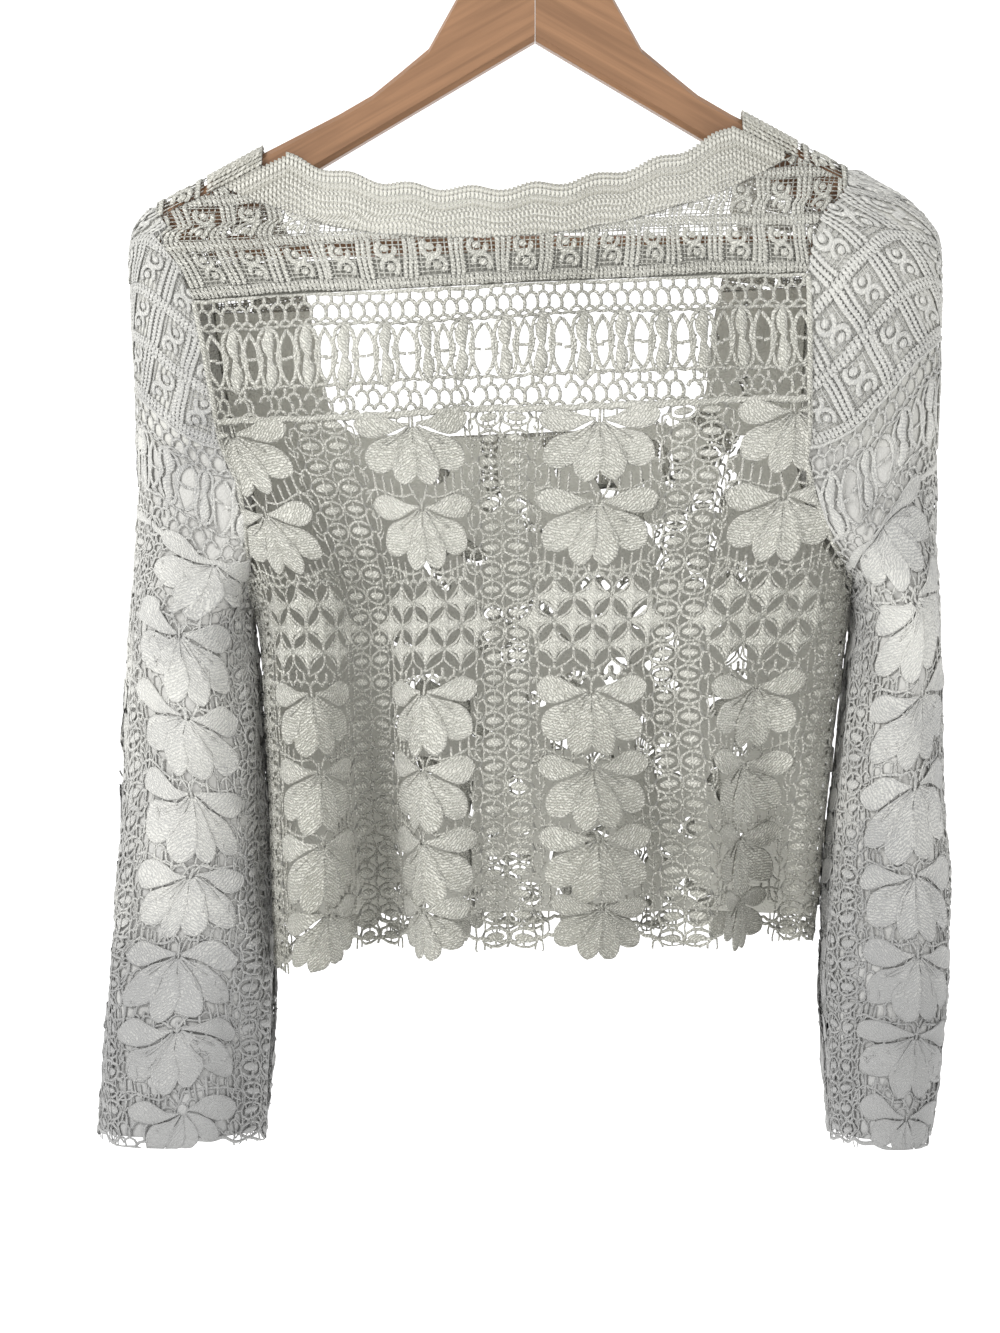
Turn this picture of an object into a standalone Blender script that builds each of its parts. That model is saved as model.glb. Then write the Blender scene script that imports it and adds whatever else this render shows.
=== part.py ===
"""Crochet lace cardigan, seen from its back, hanging on a plain wooden hanger.

Millimetres inside, metres in Blender. The origin is the inside top of the hook, +Z is up,
+X is the right of the photograph and -Y is the side that the photograph shows.
u runs round the body from the centre back (right is positive), v runs down it from the yoke's lower row.
"""

import math

import bpy
import numpy as np

NAME = "crochet_cardigan"
MM = 0.001

WALL = 1.6
SEAM_GAP = 0.5
ARMHOLE_GAP = 2.2
UNDERARM_GAP = 3.2
UNDERARM_GAP_V = 164.0
UNDERARM_GAP_REACH = 30.0
SIDE_CLEAR = 0.6
RIB_HEIGHT = 0.6
ROPE_HEIGHT = 0.7

YOKE_ROW_Z = -253.5
QUARTER = 225.0
HEM_V = 354.0
HEM_SCALLOP = 2.5
CUFF_SCALLOP = 2.0
TILT_TOP = 0.045
TILT_HEM = 0.01
MIDDLE_X = -18.0

RIDGE_X = 114.5
RIDGE_Z = -153.5
RIDGE_SLOPE = 0.54
RIDGE_ROUND = 9.0
CLOSING = 50.0
CLOSING_POWER = 1.3
CLOSED_TO = 150.0
SHOULDER_DEPTH = 34.0

# level: left edge, right edge, back depth, front depth, squareness, centre back x, centre front x
BODY_COLUMNS = ("left", "right", "back", "front", "square", "mid_back", "mid_front")
BODY_ROWS = {
    -160.0: (-242, 206, 34, 34, 3.4, -18, -18),
    -253.5: (-236, 202, 41, 40, 3.2, -18, -8),
    -330.0: (-216, 198, 47, 47, 3.0, -18, -8),
    -390.0: (-176, 184, 51, 52, 2.6, -17.5, -9),
    -425.0: (-151, 173, 53, 54, 2.4, -17, -9),
    -500.0: (-146, 163, 54, 56, 2.4, -16, -9),
    -625.0: (-141, 151, 56, 58, 2.4, -14, -8),
}

# name, side (-1 back), x at the top, x at the hem, half width, depth at the hem (out is positive), level it starts
BODY_FOLDS = (
    ("left front edge ridge", -1, -134, -121, 32, 30, -260),
    ("left valley", -1, -94, -82, 30, -34, -290),
    ("left flower ridge", -1, -66, -50, 26, 12, -350),
    ("centre valley", -1, -18, -13, 26, -9, -380),
    ("right flower ridge", -1, 36, 26, 30, 12, -380),
    ("right oval valley", -1, 84, 68, 24, -8, -400),
    ("right ridge", -1, 104, 92, 22, 8, -410),
    ("right valley", -1, 114, 120, 26, -36, -415),
    ("front left ridge", 1, -110, -100, 36, 20, -380),
    ("front left valley", 1, -60, -56, 32, -24, -380),
    ("front middle ridge", 1, -8, -8, 34, 14, -380),
    ("front right valley", 1, 48, 46, 32, -22, -380),
    ("front right ridge", 1, 96, 90, 34, 18, -400),
)

# v down the armhole and the distance u from the centre
ARMHOLE_V = (-52, -40, -20, 0, 20, 60, 100, 120, 145, 162, 171)
ARMHOLE_U = (190, 181, 168, 162, 160, 158, 159, 167, 185, 206, 224.5)
UNDERARM_V = 171.0
UNDERARM_ROUND = (0.8, 0.45, 0.1)
ARMHOLE_TOP = (0.7, 2.6)

# height: outer line, inner line, half depth, middle y
RIGHT_SLEEVE = {
    -186.0: (176, 140, 20, 0), -200.0: (202, 140, 24, 0), -210.0: (214, 140, 27, 0),
    -220.0: (221, 140, 30, 0), -235.0: (223.5, 140, 34, 0), -323.0: (222, 142, 46, 0),
    -386.0: (219, 160, 54, 0), -425.0: (220, 176.5, 56, 0), -462.0: (221.5, 171.5, 57, 0),
    -521.0: (223, 165, 57, 0), -576.0: (226, 159, 57, 0), -641.0: (224.5, 157.5, 57, 0),
    -698.0: (219, 160.5, 55, 0), -724.0: (214, 163, 54, 0),
}
LEFT_SLEEVE = {
    -205.0: (210, 155, 20, 0), -212.0: (217, 155, 24, 0), -220.0: (221.5, 155, 27, 0),
    -228.0: (223, 155, 30, 0), -240.0: (223.5, 155, 34, 0), -323.0: (219, 150, 43, 0),
    -386.0: (217.5, 150, 46, 0), -425.0: (220, 156.5, 47, 0), -477.0: (224, 150.8, 47, 0),
    -565.0: (228, 146.6, 47, 0), -615.0: (231.5, 144.4, 47, 0), -670.0: (236, 144.5, 48, 0),
    -724.0: (239, 149, 49, 0),
}
SLEEVE_SQUARE = 2.3
SLEEVE_TOP_Z = -240.0
SLEEVE_AXIS_X = 185.0
HALF_GIRTH = 145.0
UNDERARM_Z = -436.0
CAP_TO_Z = -340.0
WRAP_START_Z = -352.0

# side of the sleeve (1 back), height, half height, share of the half girth, half width, depth inwards
SLEEVE_FOLDS = {
    1: ((1, -448, 40, 0.62, 0.26, 15), (1, -600, 90, 0.5, 0.2, 6), (-1, -520, 90, 0.5, 0.25, 8)),
    -1: ((1, -455, 45, 0.66, 0.26, 10), (1, -610, 80, 0.42, 0.2, 7), (-1, -540, 90, 0.5, 0.25, 8)),
}

BAND_TOP_V = -53.5
BAND_RISE = 34.0
BAND_HALF = 131.5
BAND_DEEP = 27.0
BAND_DEEPER = 7.0
BAND_FROM = -150.0
BAND_TO = 151.0
BAND_SCALLOP = 1.6
BAND_SCALLOP_PITCH = 33.0
SEAM_DROP = 14.0
SEAM_DROP_LESS = 5.0
SEAM_DROP_FROM = 120.0
SEAM_DROP_OVER = 70.0
YOKE_HALF = 187.0
YOKE_SLANT = 0.45
YOKE_CLEAR = 1.2
FRONT_TOP_U = 131.5
FRONT_INNER = ((-80, 132), (-40, 122), (-11, 114), (15, 109), (48.5, 105))
FRONT_WIDTH = 30.5
CORNER_U = 80.0
CORNER_V = 48.5
CORNER_R = 25.0
FRONT_BOTTOM_V = CORNER_V + CORNER_R + FRONT_WIDTH

LACE_PITCH = 100.0
MEDALLION = 20.7
FLOWER_ROWS = (74.0, 119.0, 218.0, 259.0, 298.0)
STAR_STEPS = (-21.8, 0, 21.8)
SLEEVE_GAP_ROWS = (-437, -478, -519, -560, -601, -642, -683)
SLEEVE_GAP_SHARES = (0.15, 0.49, 0.81)
SLEEVE_NET_GAPS = 7
# across from the motif, down from its row, half width, half height
FLOWER_GAP = (27, 24, 4.6, 7.0)
STAR_GAP = (0, 182.0, 3.4, 6.5)
NET_GAP = (0, 34.0, 3.6, 8.0)
SLEEVE_NET_GAP = (0, -377.0, 3.6, 7.0)
SLEEVE_FLOWER_GAP = (0, 0, 4.4, 7.0)
GAP_REACH = 10.0

WOOD_HALF = 7.0
WOOD_EDGE = 3.2
TIP_FROM = 211.0
TIP_LENGTH = 6.5
TIP_RISE = 8.0
TIP_THIN = 2.0
WOOD_TOP = ((0.15, -62), (24, -62.5), (33, -70), (43.3, -92), (58.5, -119.3), (74.9, -133), (89.4, -144.8),
            (108, -155.6), (150, -177.2), (190, -199.4), (206, -208.6), (212.5, -215), (217.5, -223))
WOOD_UNDER_Z = -115.0
WOOD_UNDER_SLOPE = 0.592
BAR_RADIUS = 6.0
BAR_Z = -227.3
BAR_END = 179.0
WIRE = 2.0
HOOK_INSIDE = 20.0
HOOK_STEM = ((0, -61.6), (0, -54), (1.0, -48), (5.5, -42.0))
HOOK_TURN = (-48, 202)
HOOK_TIP = 0.55


def soft(rows, index, z, reach=14.0):
    """A table's column at height z: straight between rows, then averaged over a short reach so that rows don't crease."""
    heights = np.array(sorted(rows))
    values = np.array([rows[h][index] for h in heights], float)
    spread = np.linspace(-reach, reach, 7)
    return np.mean([np.interp(np.asarray(z, float) + s, heights, values) for s in spread], axis=0)


def ramp(t):
    """0 below 0, 1 above 1, and an S between: t * t * (3 - 2 t)."""
    t = np.clip(t, 0, 1)
    return t * t * (3 - 2 * t)


def bump(t):
    """A round hump over -1..1: cos of a quarter turn, squared."""
    return np.where(np.abs(t) < 1, np.cos(np.clip(t, -1, 1) * math.pi / 2) ** 2, 0.0)


def ridge(x):
    """Height of the cloth's top line over the hanger at x."""
    return RIDGE_Z - RIDGE_SLOPE * (np.abs(x) - RIDGE_X)


def tilt(level):
    """How much the rows climb to the right: most at the yoke, least at the hem."""
    return TILT_TOP + (TILT_HEM - TILT_TOP) * ramp((YOKE_ROW_Z - level) / HEM_V)


def close_up(x, y, z):
    """Draws the two sheets together below the ridge: y = r + (y0 - r) * (1 - exp(-((d - r) / c) ^ p)), d below the ridge."""
    below = np.maximum(ridge(x) - z, 0.0)
    share = 1 - np.exp(-(np.maximum(below - RIDGE_ROUND, 0) / CLOSING) ** CLOSING_POWER)
    round_top = RIDGE_ROUND * np.sqrt(np.clip(1 - (1 - np.minimum(below / RIDGE_ROUND, 1)) ** 2, 0, 1))
    far = below > CLOSED_TO
    depth = np.where(far, np.abs(y), round_top + (np.abs(y) - RIDGE_ROUND) * share)
    return np.sign(y) * np.where(far | (np.abs(y) > RIDGE_ROUND), depth, np.abs(y) + (depth - np.abs(y)) * (1 - share))


def ring_points(level):
    """One ring of the body: a superellipse with its folds, tilted and closed below the ridge, as closed points."""
    row = {name: float(soft(BODY_ROWS, i, level)) for i, name in enumerate(BODY_COLUMNS)}
    turn = np.linspace(0, 2 * math.pi, 1441)
    middle = (row["left"] + row["right"]) / 2
    half = (row["right"] - row["left"]) / 2
    s, c = np.sin(turn), np.cos(turn)
    reach = (np.abs(s) ** row["square"] + np.abs(c) ** row["square"]) ** (-1 / row["square"])
    x = middle + half * reach * s
    y = -np.where(c > 0, row["back"], row["front"]) * reach * c
    low = (YOKE_ROW_Z - level) / HEM_V
    for _, side, top_x, hem_x, width, depth, start in BODY_FOLDS:
        grown = ramp((start - level) / (start - YOKE_ROW_Z + HEM_V))
        at = top_x + (hem_x - top_x) * np.clip(low, 0, 1)
        y = y + side * depth * grown * bump((x - at) / width) * (side * y > 0)
    z = level + tilt(level) * (x - MIDDLE_X)
    return x, close_up(x, y, z), z, row


def body_grid(levels, stations):
    """Points [level, station]: each ring by its own length, with the centres and the side lines at their stations."""
    grid = np.empty((len(levels), len(stations), 3))
    for i, level in enumerate(levels):
        x, y, z, row = ring_points(level)
        length = np.concatenate([[0], np.cumsum(np.hypot(np.diff(x), np.diff(y)))])
        n = len(x)
        right, left = n // 4, 3 * n // 4
        back_at = np.interp(row["mid_back"], x[:right], length[:right])
        if row["mid_back"] < x[0]:
            back_at = np.interp(row["mid_back"], x[left:], length[left:]) - length[-1]
        front_at = np.interp(-row["mid_front"], -x[right:left], length[right:left])
        knots = np.array([back_at, length[right], front_at, length[left], back_at + length[-1]])
        along = np.interp(np.mod(stations, 4 * QUARTER), QUARTER * np.arange(5), knots)
        for k, values in enumerate((x, y, z)):
            grid[i, :, k] = np.interp(np.mod(along, length[-1]), length, values)
    return grid


LEVELS_V = np.arange(-100.0, 368.1, 4.0)
STATIONS = np.arange(-QUARTER * 2, QUARTER * 2 + 0.1, 2.5)
BODY = body_grid(YOKE_ROW_Z - LEVELS_V, STATIONS)


def look_up(grid, rows, columns, row, column):
    """Reads a grid of points between its rows and columns, straight both ways."""
    r = np.clip((np.asarray(row, float) - rows[0]) / (rows[1] - rows[0]), 0, len(rows) - 1.001)
    c = np.clip((np.asarray(column, float) - columns[0]) / (columns[1] - columns[0]), 0, len(columns) - 1.001)
    i, j = r.astype(int), c.astype(int)
    a, b = (r - i)[..., None], (c - j)[..., None]
    return ((1 - a) * (1 - b) * grid[i, j] + (1 - a) * b * grid[i, j + 1]
            + a * (1 - b) * grid[i + 1, j] + a * b * grid[i + 1, j + 1])


def body_at(u, v):
    return look_up(BODY, LEVELS_V, STATIONS, v, u)


def armhole_u(v):
    return np.interp(v, ARMHOLE_V, ARMHOLE_U)


def armhole_line(side, face):
    """The armhole's edge from the ridge down to the underarm, on one side (1 right) and one face (1 back)."""
    v = np.arange(-50.0, UNDERARM_V + 0.1, 2.0)
    u = armhole_u(v)
    points = body_at(side * (u if face > 0 else 2 * QUARTER - u), v)
    points[-3:, 1] *= np.array(UNDERARM_ROUND)
    top = points[0]
    share, drop = ARMHOLE_TOP
    over = np.array([[top[0], 0, ridge(top[0])], [top[0], top[1] * share, ridge(top[0]) - drop]])
    return np.concatenate([over, points])


def sleeve_grid(side, heights, shares):
    """Points [height, share]: share -1..0 is the back half from the seam to the outer line, 0..1 the front half.

    Each slice is part of a superellipse from the outer line to the armhole's edge. It turns a quarter above the
    underarm and more towards it, and below it half a turn to the inner line.
    """
    table = RIGHT_SLEEVE if side > 0 else LEFT_SLEEVE
    grid = np.empty((len(heights), len(shares), 3))
    for face, picked in ((1, shares <= 0), (-1, shares > 0)):
        edge = armhole_line(side, face)
        for i, z in enumerate(heights):
            out, inn, deep, mid = (float(soft(table, k, z, 4.0 if z > SLEEVE_TOP_Z else 12.0)) for k in range(4))
            wrap = float(ramp((WRAP_START_Z - z) / (WRAP_START_Z - edge[-1, 2])))
            at_x, at_y = (float(np.interp(-z, -edge[:, 2], np.abs(edge[:, k]))) for k in (0, 1))
            depth = at_y * (1 - wrap) + deep * wrap
            end = math.pi - math.asin(min(at_y / max(depth, 0.1), 1)) if z > edge[-1, 2] else math.pi
            turn = np.linspace(0, end, 181)
            reach = np.abs(np.cos(turn)) ** SLEEVE_SQUARE + np.sin(turn) ** SLEEVE_SQUARE
            reach = reach ** (-1 / SLEEVE_SQUARE)
            back = abs(reach[-1] * math.cos(end))
            goal = at_x if z > edge[-1, 2] else inn
            centre = (goal + out * back) / (1 + back)
            x = centre + (out - centre) * reach * np.cos(turn)
            y = depth * reach * np.sin(turn)
            if z > edge[-1, 2]:
                y = y + (turn / end) ** 2 * (at_y - y[-1])
            length = np.concatenate([[0], np.cumsum(np.hypot(np.diff(x), np.diff(y)))])
            share = length / length[-1]
            for fold_face, fold_z, tall, middle, wide, dent in SLEEVE_FOLDS[side]:
                if fold_face == face:
                    y = y - dent * bump((z - fold_z) / tall) * bump((share - middle) / wide)
            want = np.abs(shares[picked])
            grid[i, picked, 0] = side * np.interp(want, share, x)
            grid[i, picked, 1] = mid - face * np.interp(want, share, y)
            grid[i, picked, 2] = z
    return grid


SHARES = np.linspace(-1, 1, 101)
HEIGHTS = np.arange(-730.0, -183.9, 2.0)
SLEEVES = {side: sleeve_grid(side, HEIGHTS, SHARES) for side in (1, -1)}


def sleeve_at(side, share, z):
    return look_up(SLEEVES[side], HEIGHTS, SHARES, z, share)


def seam_drop(x):
    """How far the shoulder seam lies below the ridge, on the back: more at the neck than at the armhole."""
    return SEAM_DROP - SEAM_DROP_LESS * np.clip((np.abs(x - MIDDLE_X) - SEAM_DROP_FROM) / SEAM_DROP_OVER, 0, 1)


def seam_v(u):
    x = u + MIDDLE_X
    z = ridge(x) - seam_drop(x)
    return YOKE_ROW_Z - (z - TILT_TOP * (x - MIDDLE_X))


def band_top_v(u):
    return BAND_TOP_V - BAND_RISE * np.abs(u / BAND_HALF) ** 2.2


def band_low_v(u):
    return band_top_v(u) + BAND_DEEP + BAND_DEEPER * (u / BAND_HALF) ** 2


def surface_normals(points):
    """Normals of a grid of points: the cross product of its differences along both ways."""
    return np.cross(np.gradient(points, axis=1), np.gradient(points, axis=0))


def unit(vectors):
    return vectors / np.maximum(np.linalg.norm(vectors, axis=-1, keepdims=True), 1e-9)


def sheet(name, material, points, keep=None, raised=None, axis_x=0.0, normals=None):
    """A closed wall round a grid of mid points: outer and inner skins of the kept cells, and a rim on every edge.

    The outer side is the one that faces away from the upright axis at x = axis_x, y = 0.
    """
    rows, columns = points.shape[:2]
    keep = np.ones((rows - 1, columns - 1), bool) if keep is None else keep
    normals = unit(surface_normals(points)) if normals is None else normals
    outward = ((points[..., 0] - axis_x) * normals[..., 0] + points[..., 1] * normals[..., 1]).sum()
    normals = normals * np.sign(outward)
    raised = np.zeros((rows, columns)) if raised is None else raised
    outer = points + normals * (WALL / 2 + raised)[..., None]
    inner = points - normals * (WALL / 2)
    index = np.arange(rows * columns).reshape(rows, columns)
    a, b, c, d = index[:-1, :-1], index[:-1, 1:], index[1:, 1:], index[1:, :-1]
    quads = np.stack([a, b, c, d], axis=-1)[keep]
    below = rows * columns
    ends = np.concatenate([quads[:, [k, (k + 1) % 4]] for k in range(4)])
    key = ends[:, 0].astype(np.int64) * below + ends[:, 1]
    twin = ends[:, 1].astype(np.int64) * below + ends[:, 0]
    rim = ends[~np.isin(key, twin)]
    rims = np.stack([rim[:, 0] + below, rim[:, 1] + below, rim[:, 1], rim[:, 0]], axis=-1)
    faces = np.concatenate([quads, quads[:, ::-1] + below, rims])
    corners = np.concatenate([outer.reshape(-1, 3), inner.reshape(-1, 3)])
    fans = corners[faces]
    volume = sum(np.einsum("ij,ij->i", fans[:, 0], np.cross(fans[:, k], fans[:, k + 1])).sum() for k in (1, 2))
    return add_mesh(name, material, corners, faces if volume > 0 else faces[:, ::-1])


def add_mesh(name, material, corners, faces):
    used, place = np.unique(faces, return_inverse=True)
    mesh = bpy.data.meshes.new(name)
    mesh.from_pydata((corners[used] * MM).tolist(), [], place.reshape(faces.shape).tolist())
    mesh.materials.append(material)
    mesh.update()
    made = bpy.data.objects.new(name, mesh)
    collection.objects.link(made)
    return made


def cell_middles(grid):
    return (grid[:-1, :-1] + grid[1:, 1:] + grid[:-1, 1:] + grid[1:, :-1]) / 4


def cut(points_of, rows, columns, keep, gaps):
    """Gives each gap the nearest free cell, moves the cell's corners to the gap's corners and drops the cell.

    rows and columns are grids of chart values. A gap is (column, row, half width, half height). Returns the points,
    the kept cells and the number of gaps cut.
    """
    taken = np.zeros(rows.shape, bool)
    done = 0
    for column, row, wide, tall in gaps:
        middle_c, middle_r = cell_middles(columns), cell_middles(rows)
        distance = np.hypot(middle_c - column, middle_r - row)
        i, j = np.unravel_index(np.argmin(distance), distance.shape)
        inside = 0 < i < keep.shape[0] - 1 and 0 < j < keep.shape[1] - 1
        if not inside or distance[i, j] > GAP_REACH or taken[i:i + 2, j:j + 2].any():
            continue
        if not keep[i - 1:i + 2, j - 1:j + 2].all():
            continue
        signs = np.array([[-1, 1], [-1, 1]])
        columns[i:i + 2, j:j + 2] = column + wide * signs
        rows[i:i + 2, j:j + 2] = row + tall * np.array([[-1, -1], [1, 1]])
        taken[i:i + 2, j:j + 2] = True
        keep[i, j] = False
        done += 1
    return points_of(columns, rows), keep, done


def flower_columns(low, high):
    """Chart columns of the flowers from one repeat before low to one after high."""
    first = math.floor(low / LACE_PITCH) - 1
    last = math.ceil(high / LACE_PITCH) + 1
    return [k * LACE_PITCH + LACE_PITCH / 2 for k in range(first, last)]


def flower_gaps(low, high):
    """The two large gaps beside each flower, between its petals, the next row's petals and the oval column."""
    across, down, wide, tall = FLOWER_GAP
    return [(column + side * across, row + down, wide, tall)
            for row in FLOWER_ROWS for column in flower_columns(low, high) for side in (-1, 1)
            if low < column + side * across < high]


def star_gaps(low, high):
    """Gaps between the stars: the open diamonds of their middle row."""
    _, down, wide, tall = STAR_GAP
    return [(column + step, down, wide, tall) for column in flower_columns(low, high) for step in STAR_STEPS
            if low < column + step < high]


BACK_ROWS = (0, 26, 42, 66, 78, 91, 105, 120, 136, 150, 163, 175.5, 188.5, 211, 235, 249, 276, 290, 315, 329, 353.7)
LOW_ROWS = (120, 136, 150, 163, 175.5, 188.5, 211, 235, 249, 276, 290, 315, 329, 353.7)
ROPE_ROW = 3
BACK_COLUMNS = 43
FRONT_COLUMNS = 19
NECK_COLUMN = 9
GAPS_TO = 215
CORNER_ANGLES = (22.5, 45.0, 67.5, 90.0)


def panel_edge(v):
    """Distance u of a body panel's side: the armhole's edge, held back most at the underarm, then the side seam."""
    held_back = UNDERARM_GAP * bump((v - UNDERARM_GAP_V) / UNDERARM_GAP_REACH)
    return np.where(v < UNDERARM_V, armhole_u(v), QUARTER) - SIDE_CLEAR - held_back


def back_panel(lace):
    v = np.array(BACK_ROWS, float)
    v[0] += SEAM_GAP
    edge = panel_edge(v)
    share = np.linspace(-1, 1, BACK_COLUMNS + 1)
    columns = edge[:, None] * share[None]
    rows = np.repeat(v[:, None], BACK_COLUMNS + 1, axis=1)
    rows[-1] += hem_wave(columns[-1])
    gaps = [(k * MEDALLION, *NET_GAP[1:]) for k in range(-7, 8)]
    gaps += flower_gaps(-GAPS_TO, GAPS_TO) + star_gaps(-GAPS_TO, GAPS_TO)
    keep = np.ones((len(v) - 1, BACK_COLUMNS), bool)
    points, keep, done = cut(body_at, rows, columns, keep, gaps)
    raised = np.zeros(rows.shape)
    raised[ROPE_ROW] = ROPE_HEIGHT
    sheet("back_panel", lace, points, keep, raised)
    return done


def hem_wave(u):
    """The hem's scallops: a longer tongue below each flower."""
    return HEM_SCALLOP * np.cos(2 * math.pi * (u - LACE_PITCH / 2) / LACE_PITCH)


def band_inner(v):
    """Distance from the centre front of the front band's inner edge, above its corner."""
    return np.interp(v, [p[0] for p in FRONT_INNER], [p[1] for p in FRONT_INNER])


def neck_u(v):
    """Distance from the centre front of the front band's outer edge."""
    side = band_inner(v) + FRONT_WIDTH
    radius = CORNER_R + FRONT_WIDTH
    bend = CORNER_U + np.sqrt(np.clip(radius ** 2 - (v - CORNER_V) ** 2, 0, None))
    return np.where(v < CORNER_V, side, bend)


def front_panel(name, lace, side):
    bend = CORNER_V + (CORNER_R + FRONT_WIDTH) * np.sin(np.radians(CORNER_ANGLES))
    v = np.concatenate([[0, 16, 32, CORNER_V], bend, LOW_ROWS])
    corner = int(np.argmin(np.abs(v - FRONT_BOTTOM_V)))
    v[0] += SEAM_GAP
    edge = panel_edge(v)
    columns = edge[:, None] * np.linspace(0, 1, FRONT_COLUMNS + 1)[None]
    columns[:, 0] = SEAM_GAP / 2
    for i in range(corner + 1):
        start = neck_u(v[i]) + SEAM_GAP
        columns[i, NECK_COLUMN:] = np.linspace(start, edge[i], FRONT_COLUMNS + 1 - NECK_COLUMN)
    rows = np.repeat(v[:, None], FRONT_COLUMNS + 1, axis=1)
    rows[corner, :NECK_COLUMN + 1] += SEAM_GAP
    rows[-1] += hem_wave(2 * QUARTER - columns[-1])
    keep = np.ones((len(v) - 1, FRONT_COLUMNS), bool)
    keep[:corner, :NECK_COLUMN] = False
    gaps = [(2 * QUARTER - u, row, wide, tall) for u, row, wide, tall in flower_gaps(230, 440) + star_gaps(230, 440)]
    points, keep, done = cut(lambda u, row: body_at(side * (2 * QUARTER - u), row), rows, columns, keep, gaps)
    sheet(name, lace, points, keep)
    return done


def back_yoke(lace):
    u = np.linspace(-YOKE_HALF, YOKE_HALF, 37)
    top = np.maximum(band_low_v(u), seam_v(u)) + SEAM_GAP
    share = np.linspace(0, 1, 4)[:, None]
    rows = top[None] * (1 - share) + (-SEAM_GAP) * share
    edge = armhole_u(rows) - YOKE_CLEAR
    reach = np.minimum(np.abs(u[None]), edge - (YOKE_HALF - np.abs(u[None])) * YOKE_SLANT)
    columns = np.sign(u[None]) * reach
    raised = np.zeros(rows.shape)
    raised[:, 1::2] = RIB_HEIGHT / 2
    sheet("back_yoke", lace, body_at(columns, rows), raised=raised)


def neck_band_back(knit):
    u = np.linspace(BAND_FROM, BAND_TO, 48)
    top = np.maximum(band_top_v(u), seam_v(u)) + SEAM_GAP
    low = np.maximum(band_low_v(u) - SEAM_GAP, top + 1.5)
    share = np.linspace(0, 1, 4)[:, None]
    rows = top[None] * (1 - share) + low[None] * share
    free = band_top_v(u) > seam_v(u)
    rows[0] += np.where(free, BAND_SCALLOP * np.cos(2 * math.pi * u / BAND_SCALLOP_PITCH), 0)
    raised = np.zeros(rows.shape)
    raised[:, 1::2] = RIB_HEIGHT
    sheet("neck_band_back", knit, body_at(np.repeat(u[None], 4, axis=0), rows), raised=raised)


def over_shoulder(side, u, back_gap):
    """Rows of points at front chart columns u: from the seam on the back, over the ridge, to the front's first row."""
    x = side * u + MIDDLE_X
    line = []
    for drop in (seam_drop(x) - back_gap, RIDGE_ROUND * 1.02 + 0 * x):
        z = ridge(x) - drop
        y = -close_up(x, 0 * x + SHOULDER_DEPTH, z)
        line.append(np.stack([x, y, z], axis=-1))
    for angle in np.radians((-52, -18, 18, 52)):
        z = ridge(x) - RIDGE_ROUND + RIDGE_ROUND * math.cos(angle)
        line.append(np.stack([x, 0 * x + RIDGE_ROUND * math.sin(angle), z], axis=-1))
    return line


def front_start_v(side, u):
    """Chart row where the front leaves the ridge's round."""
    x = side * u + MIDDLE_X
    return YOKE_ROW_Z - (ridge(x) - RIDGE_ROUND * 1.15 - TILT_TOP * (x - MIDDLE_X))


def front_chart(side, u, v):
    return body_at(side * (2 * QUARTER - u), v)


def front_yoke(name, lace, side):
    share = np.linspace(0, 1, 5)
    inner, outer = FRONT_TOP_U + FRONT_WIDTH + 2 * SEAM_GAP, YOKE_HALF + SEAM_GAP
    top_u = inner + (outer - inner) * share
    line = over_shoulder(side, top_u, SEAM_GAP)
    start = front_start_v(side, top_u)
    for k in np.linspace(0, 1, 6):
        v = start * (1 - k) - SEAM_GAP * k
        low = neck_u(v) + SEAM_GAP * 2.4
        high = armhole_u(v) - YOKE_CLEAR
        line.append(front_chart(side, low + (high - low) * share, v))
    points = np.array(line)
    sheet(name, lace, points)


def neck_band_front(name, knit, side):
    """The band from the shoulder seam over the ridge, down beside the neck, round the corner to the centre front."""
    across = np.linspace(0, 1, 4)
    top_u = FRONT_TOP_U + (FRONT_WIDTH - SEAM_GAP) * across
    line = over_shoulder(side, top_u, SEAM_GAP)
    start = front_start_v(side, top_u)
    steps = 13
    for k in range(steps):
        t = k / (steps - 1)
        v = start * (1 - t) + CORNER_V * t
        line.append(front_chart(side, band_inner(v) + (FRONT_WIDTH - SEAM_GAP) * across, v))
    for angle in np.radians(CORNER_ANGLES):
        radius = CORNER_R + (FRONT_WIDTH - SEAM_GAP) * across
        line.append(front_chart(side, CORNER_U + radius * math.cos(angle), CORNER_V + radius * math.sin(angle)))
    for u in np.linspace(CORNER_U, SEAM_GAP / 2, 11)[1:]:
        line.append(front_chart(side, u + 0 * across, CORNER_V + CORNER_R + (FRONT_WIDTH - SEAM_GAP) * across))
    points = np.array(line)
    raised = np.zeros(points.shape[:2])
    raised[1::2] = RIB_HEIGHT
    sheet(name, knit, points, raised=raised)


CAP_ROWS = {
    1: (-187, -191, -197, -203.5, -210, -219, -230, -252, -282, -312, CAP_TO_Z + SEAM_GAP),
    -1: (-207.5, -211, -215, -220, -229, -250, -275, -298, -319, CAP_TO_Z + SEAM_GAP),
}


def sleeve_cap(name, lace, side):
    z = np.array(CAP_ROWS[side])
    share = np.linspace(-1, 1, 19)
    points = sleeve_at(side, share[None] * np.ones((len(z), 1)), z[:, None] * np.ones((1, len(share))))
    normals = unit(surface_normals(points))
    sheet(name, lace, pull_off_armhole(points, side), axis_x=side * SLEEVE_AXIS_X, normals=normals)


def pull_off_armhole(points, side, first=0, last=-1):
    """Moves the two edge columns a little along their rows, clear of the body's armhole edge."""
    points = points.copy()
    for edge, inward in ((first, 1), (last, -1)):
        step = unit(points[:, edge + inward] - points[:, edge])
        points[:, edge] += step * ARMHOLE_GAP
    return points


SLEEVE_ROWS = (-340, -352, -369, -384, -403, -417, -430, -444, -458, -471, -485, -512, -526, -553, -567, -594, -608,
               -635, -649, -676, -690, -715)
SLEEVE_HALF_COLUMNS = 13


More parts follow.
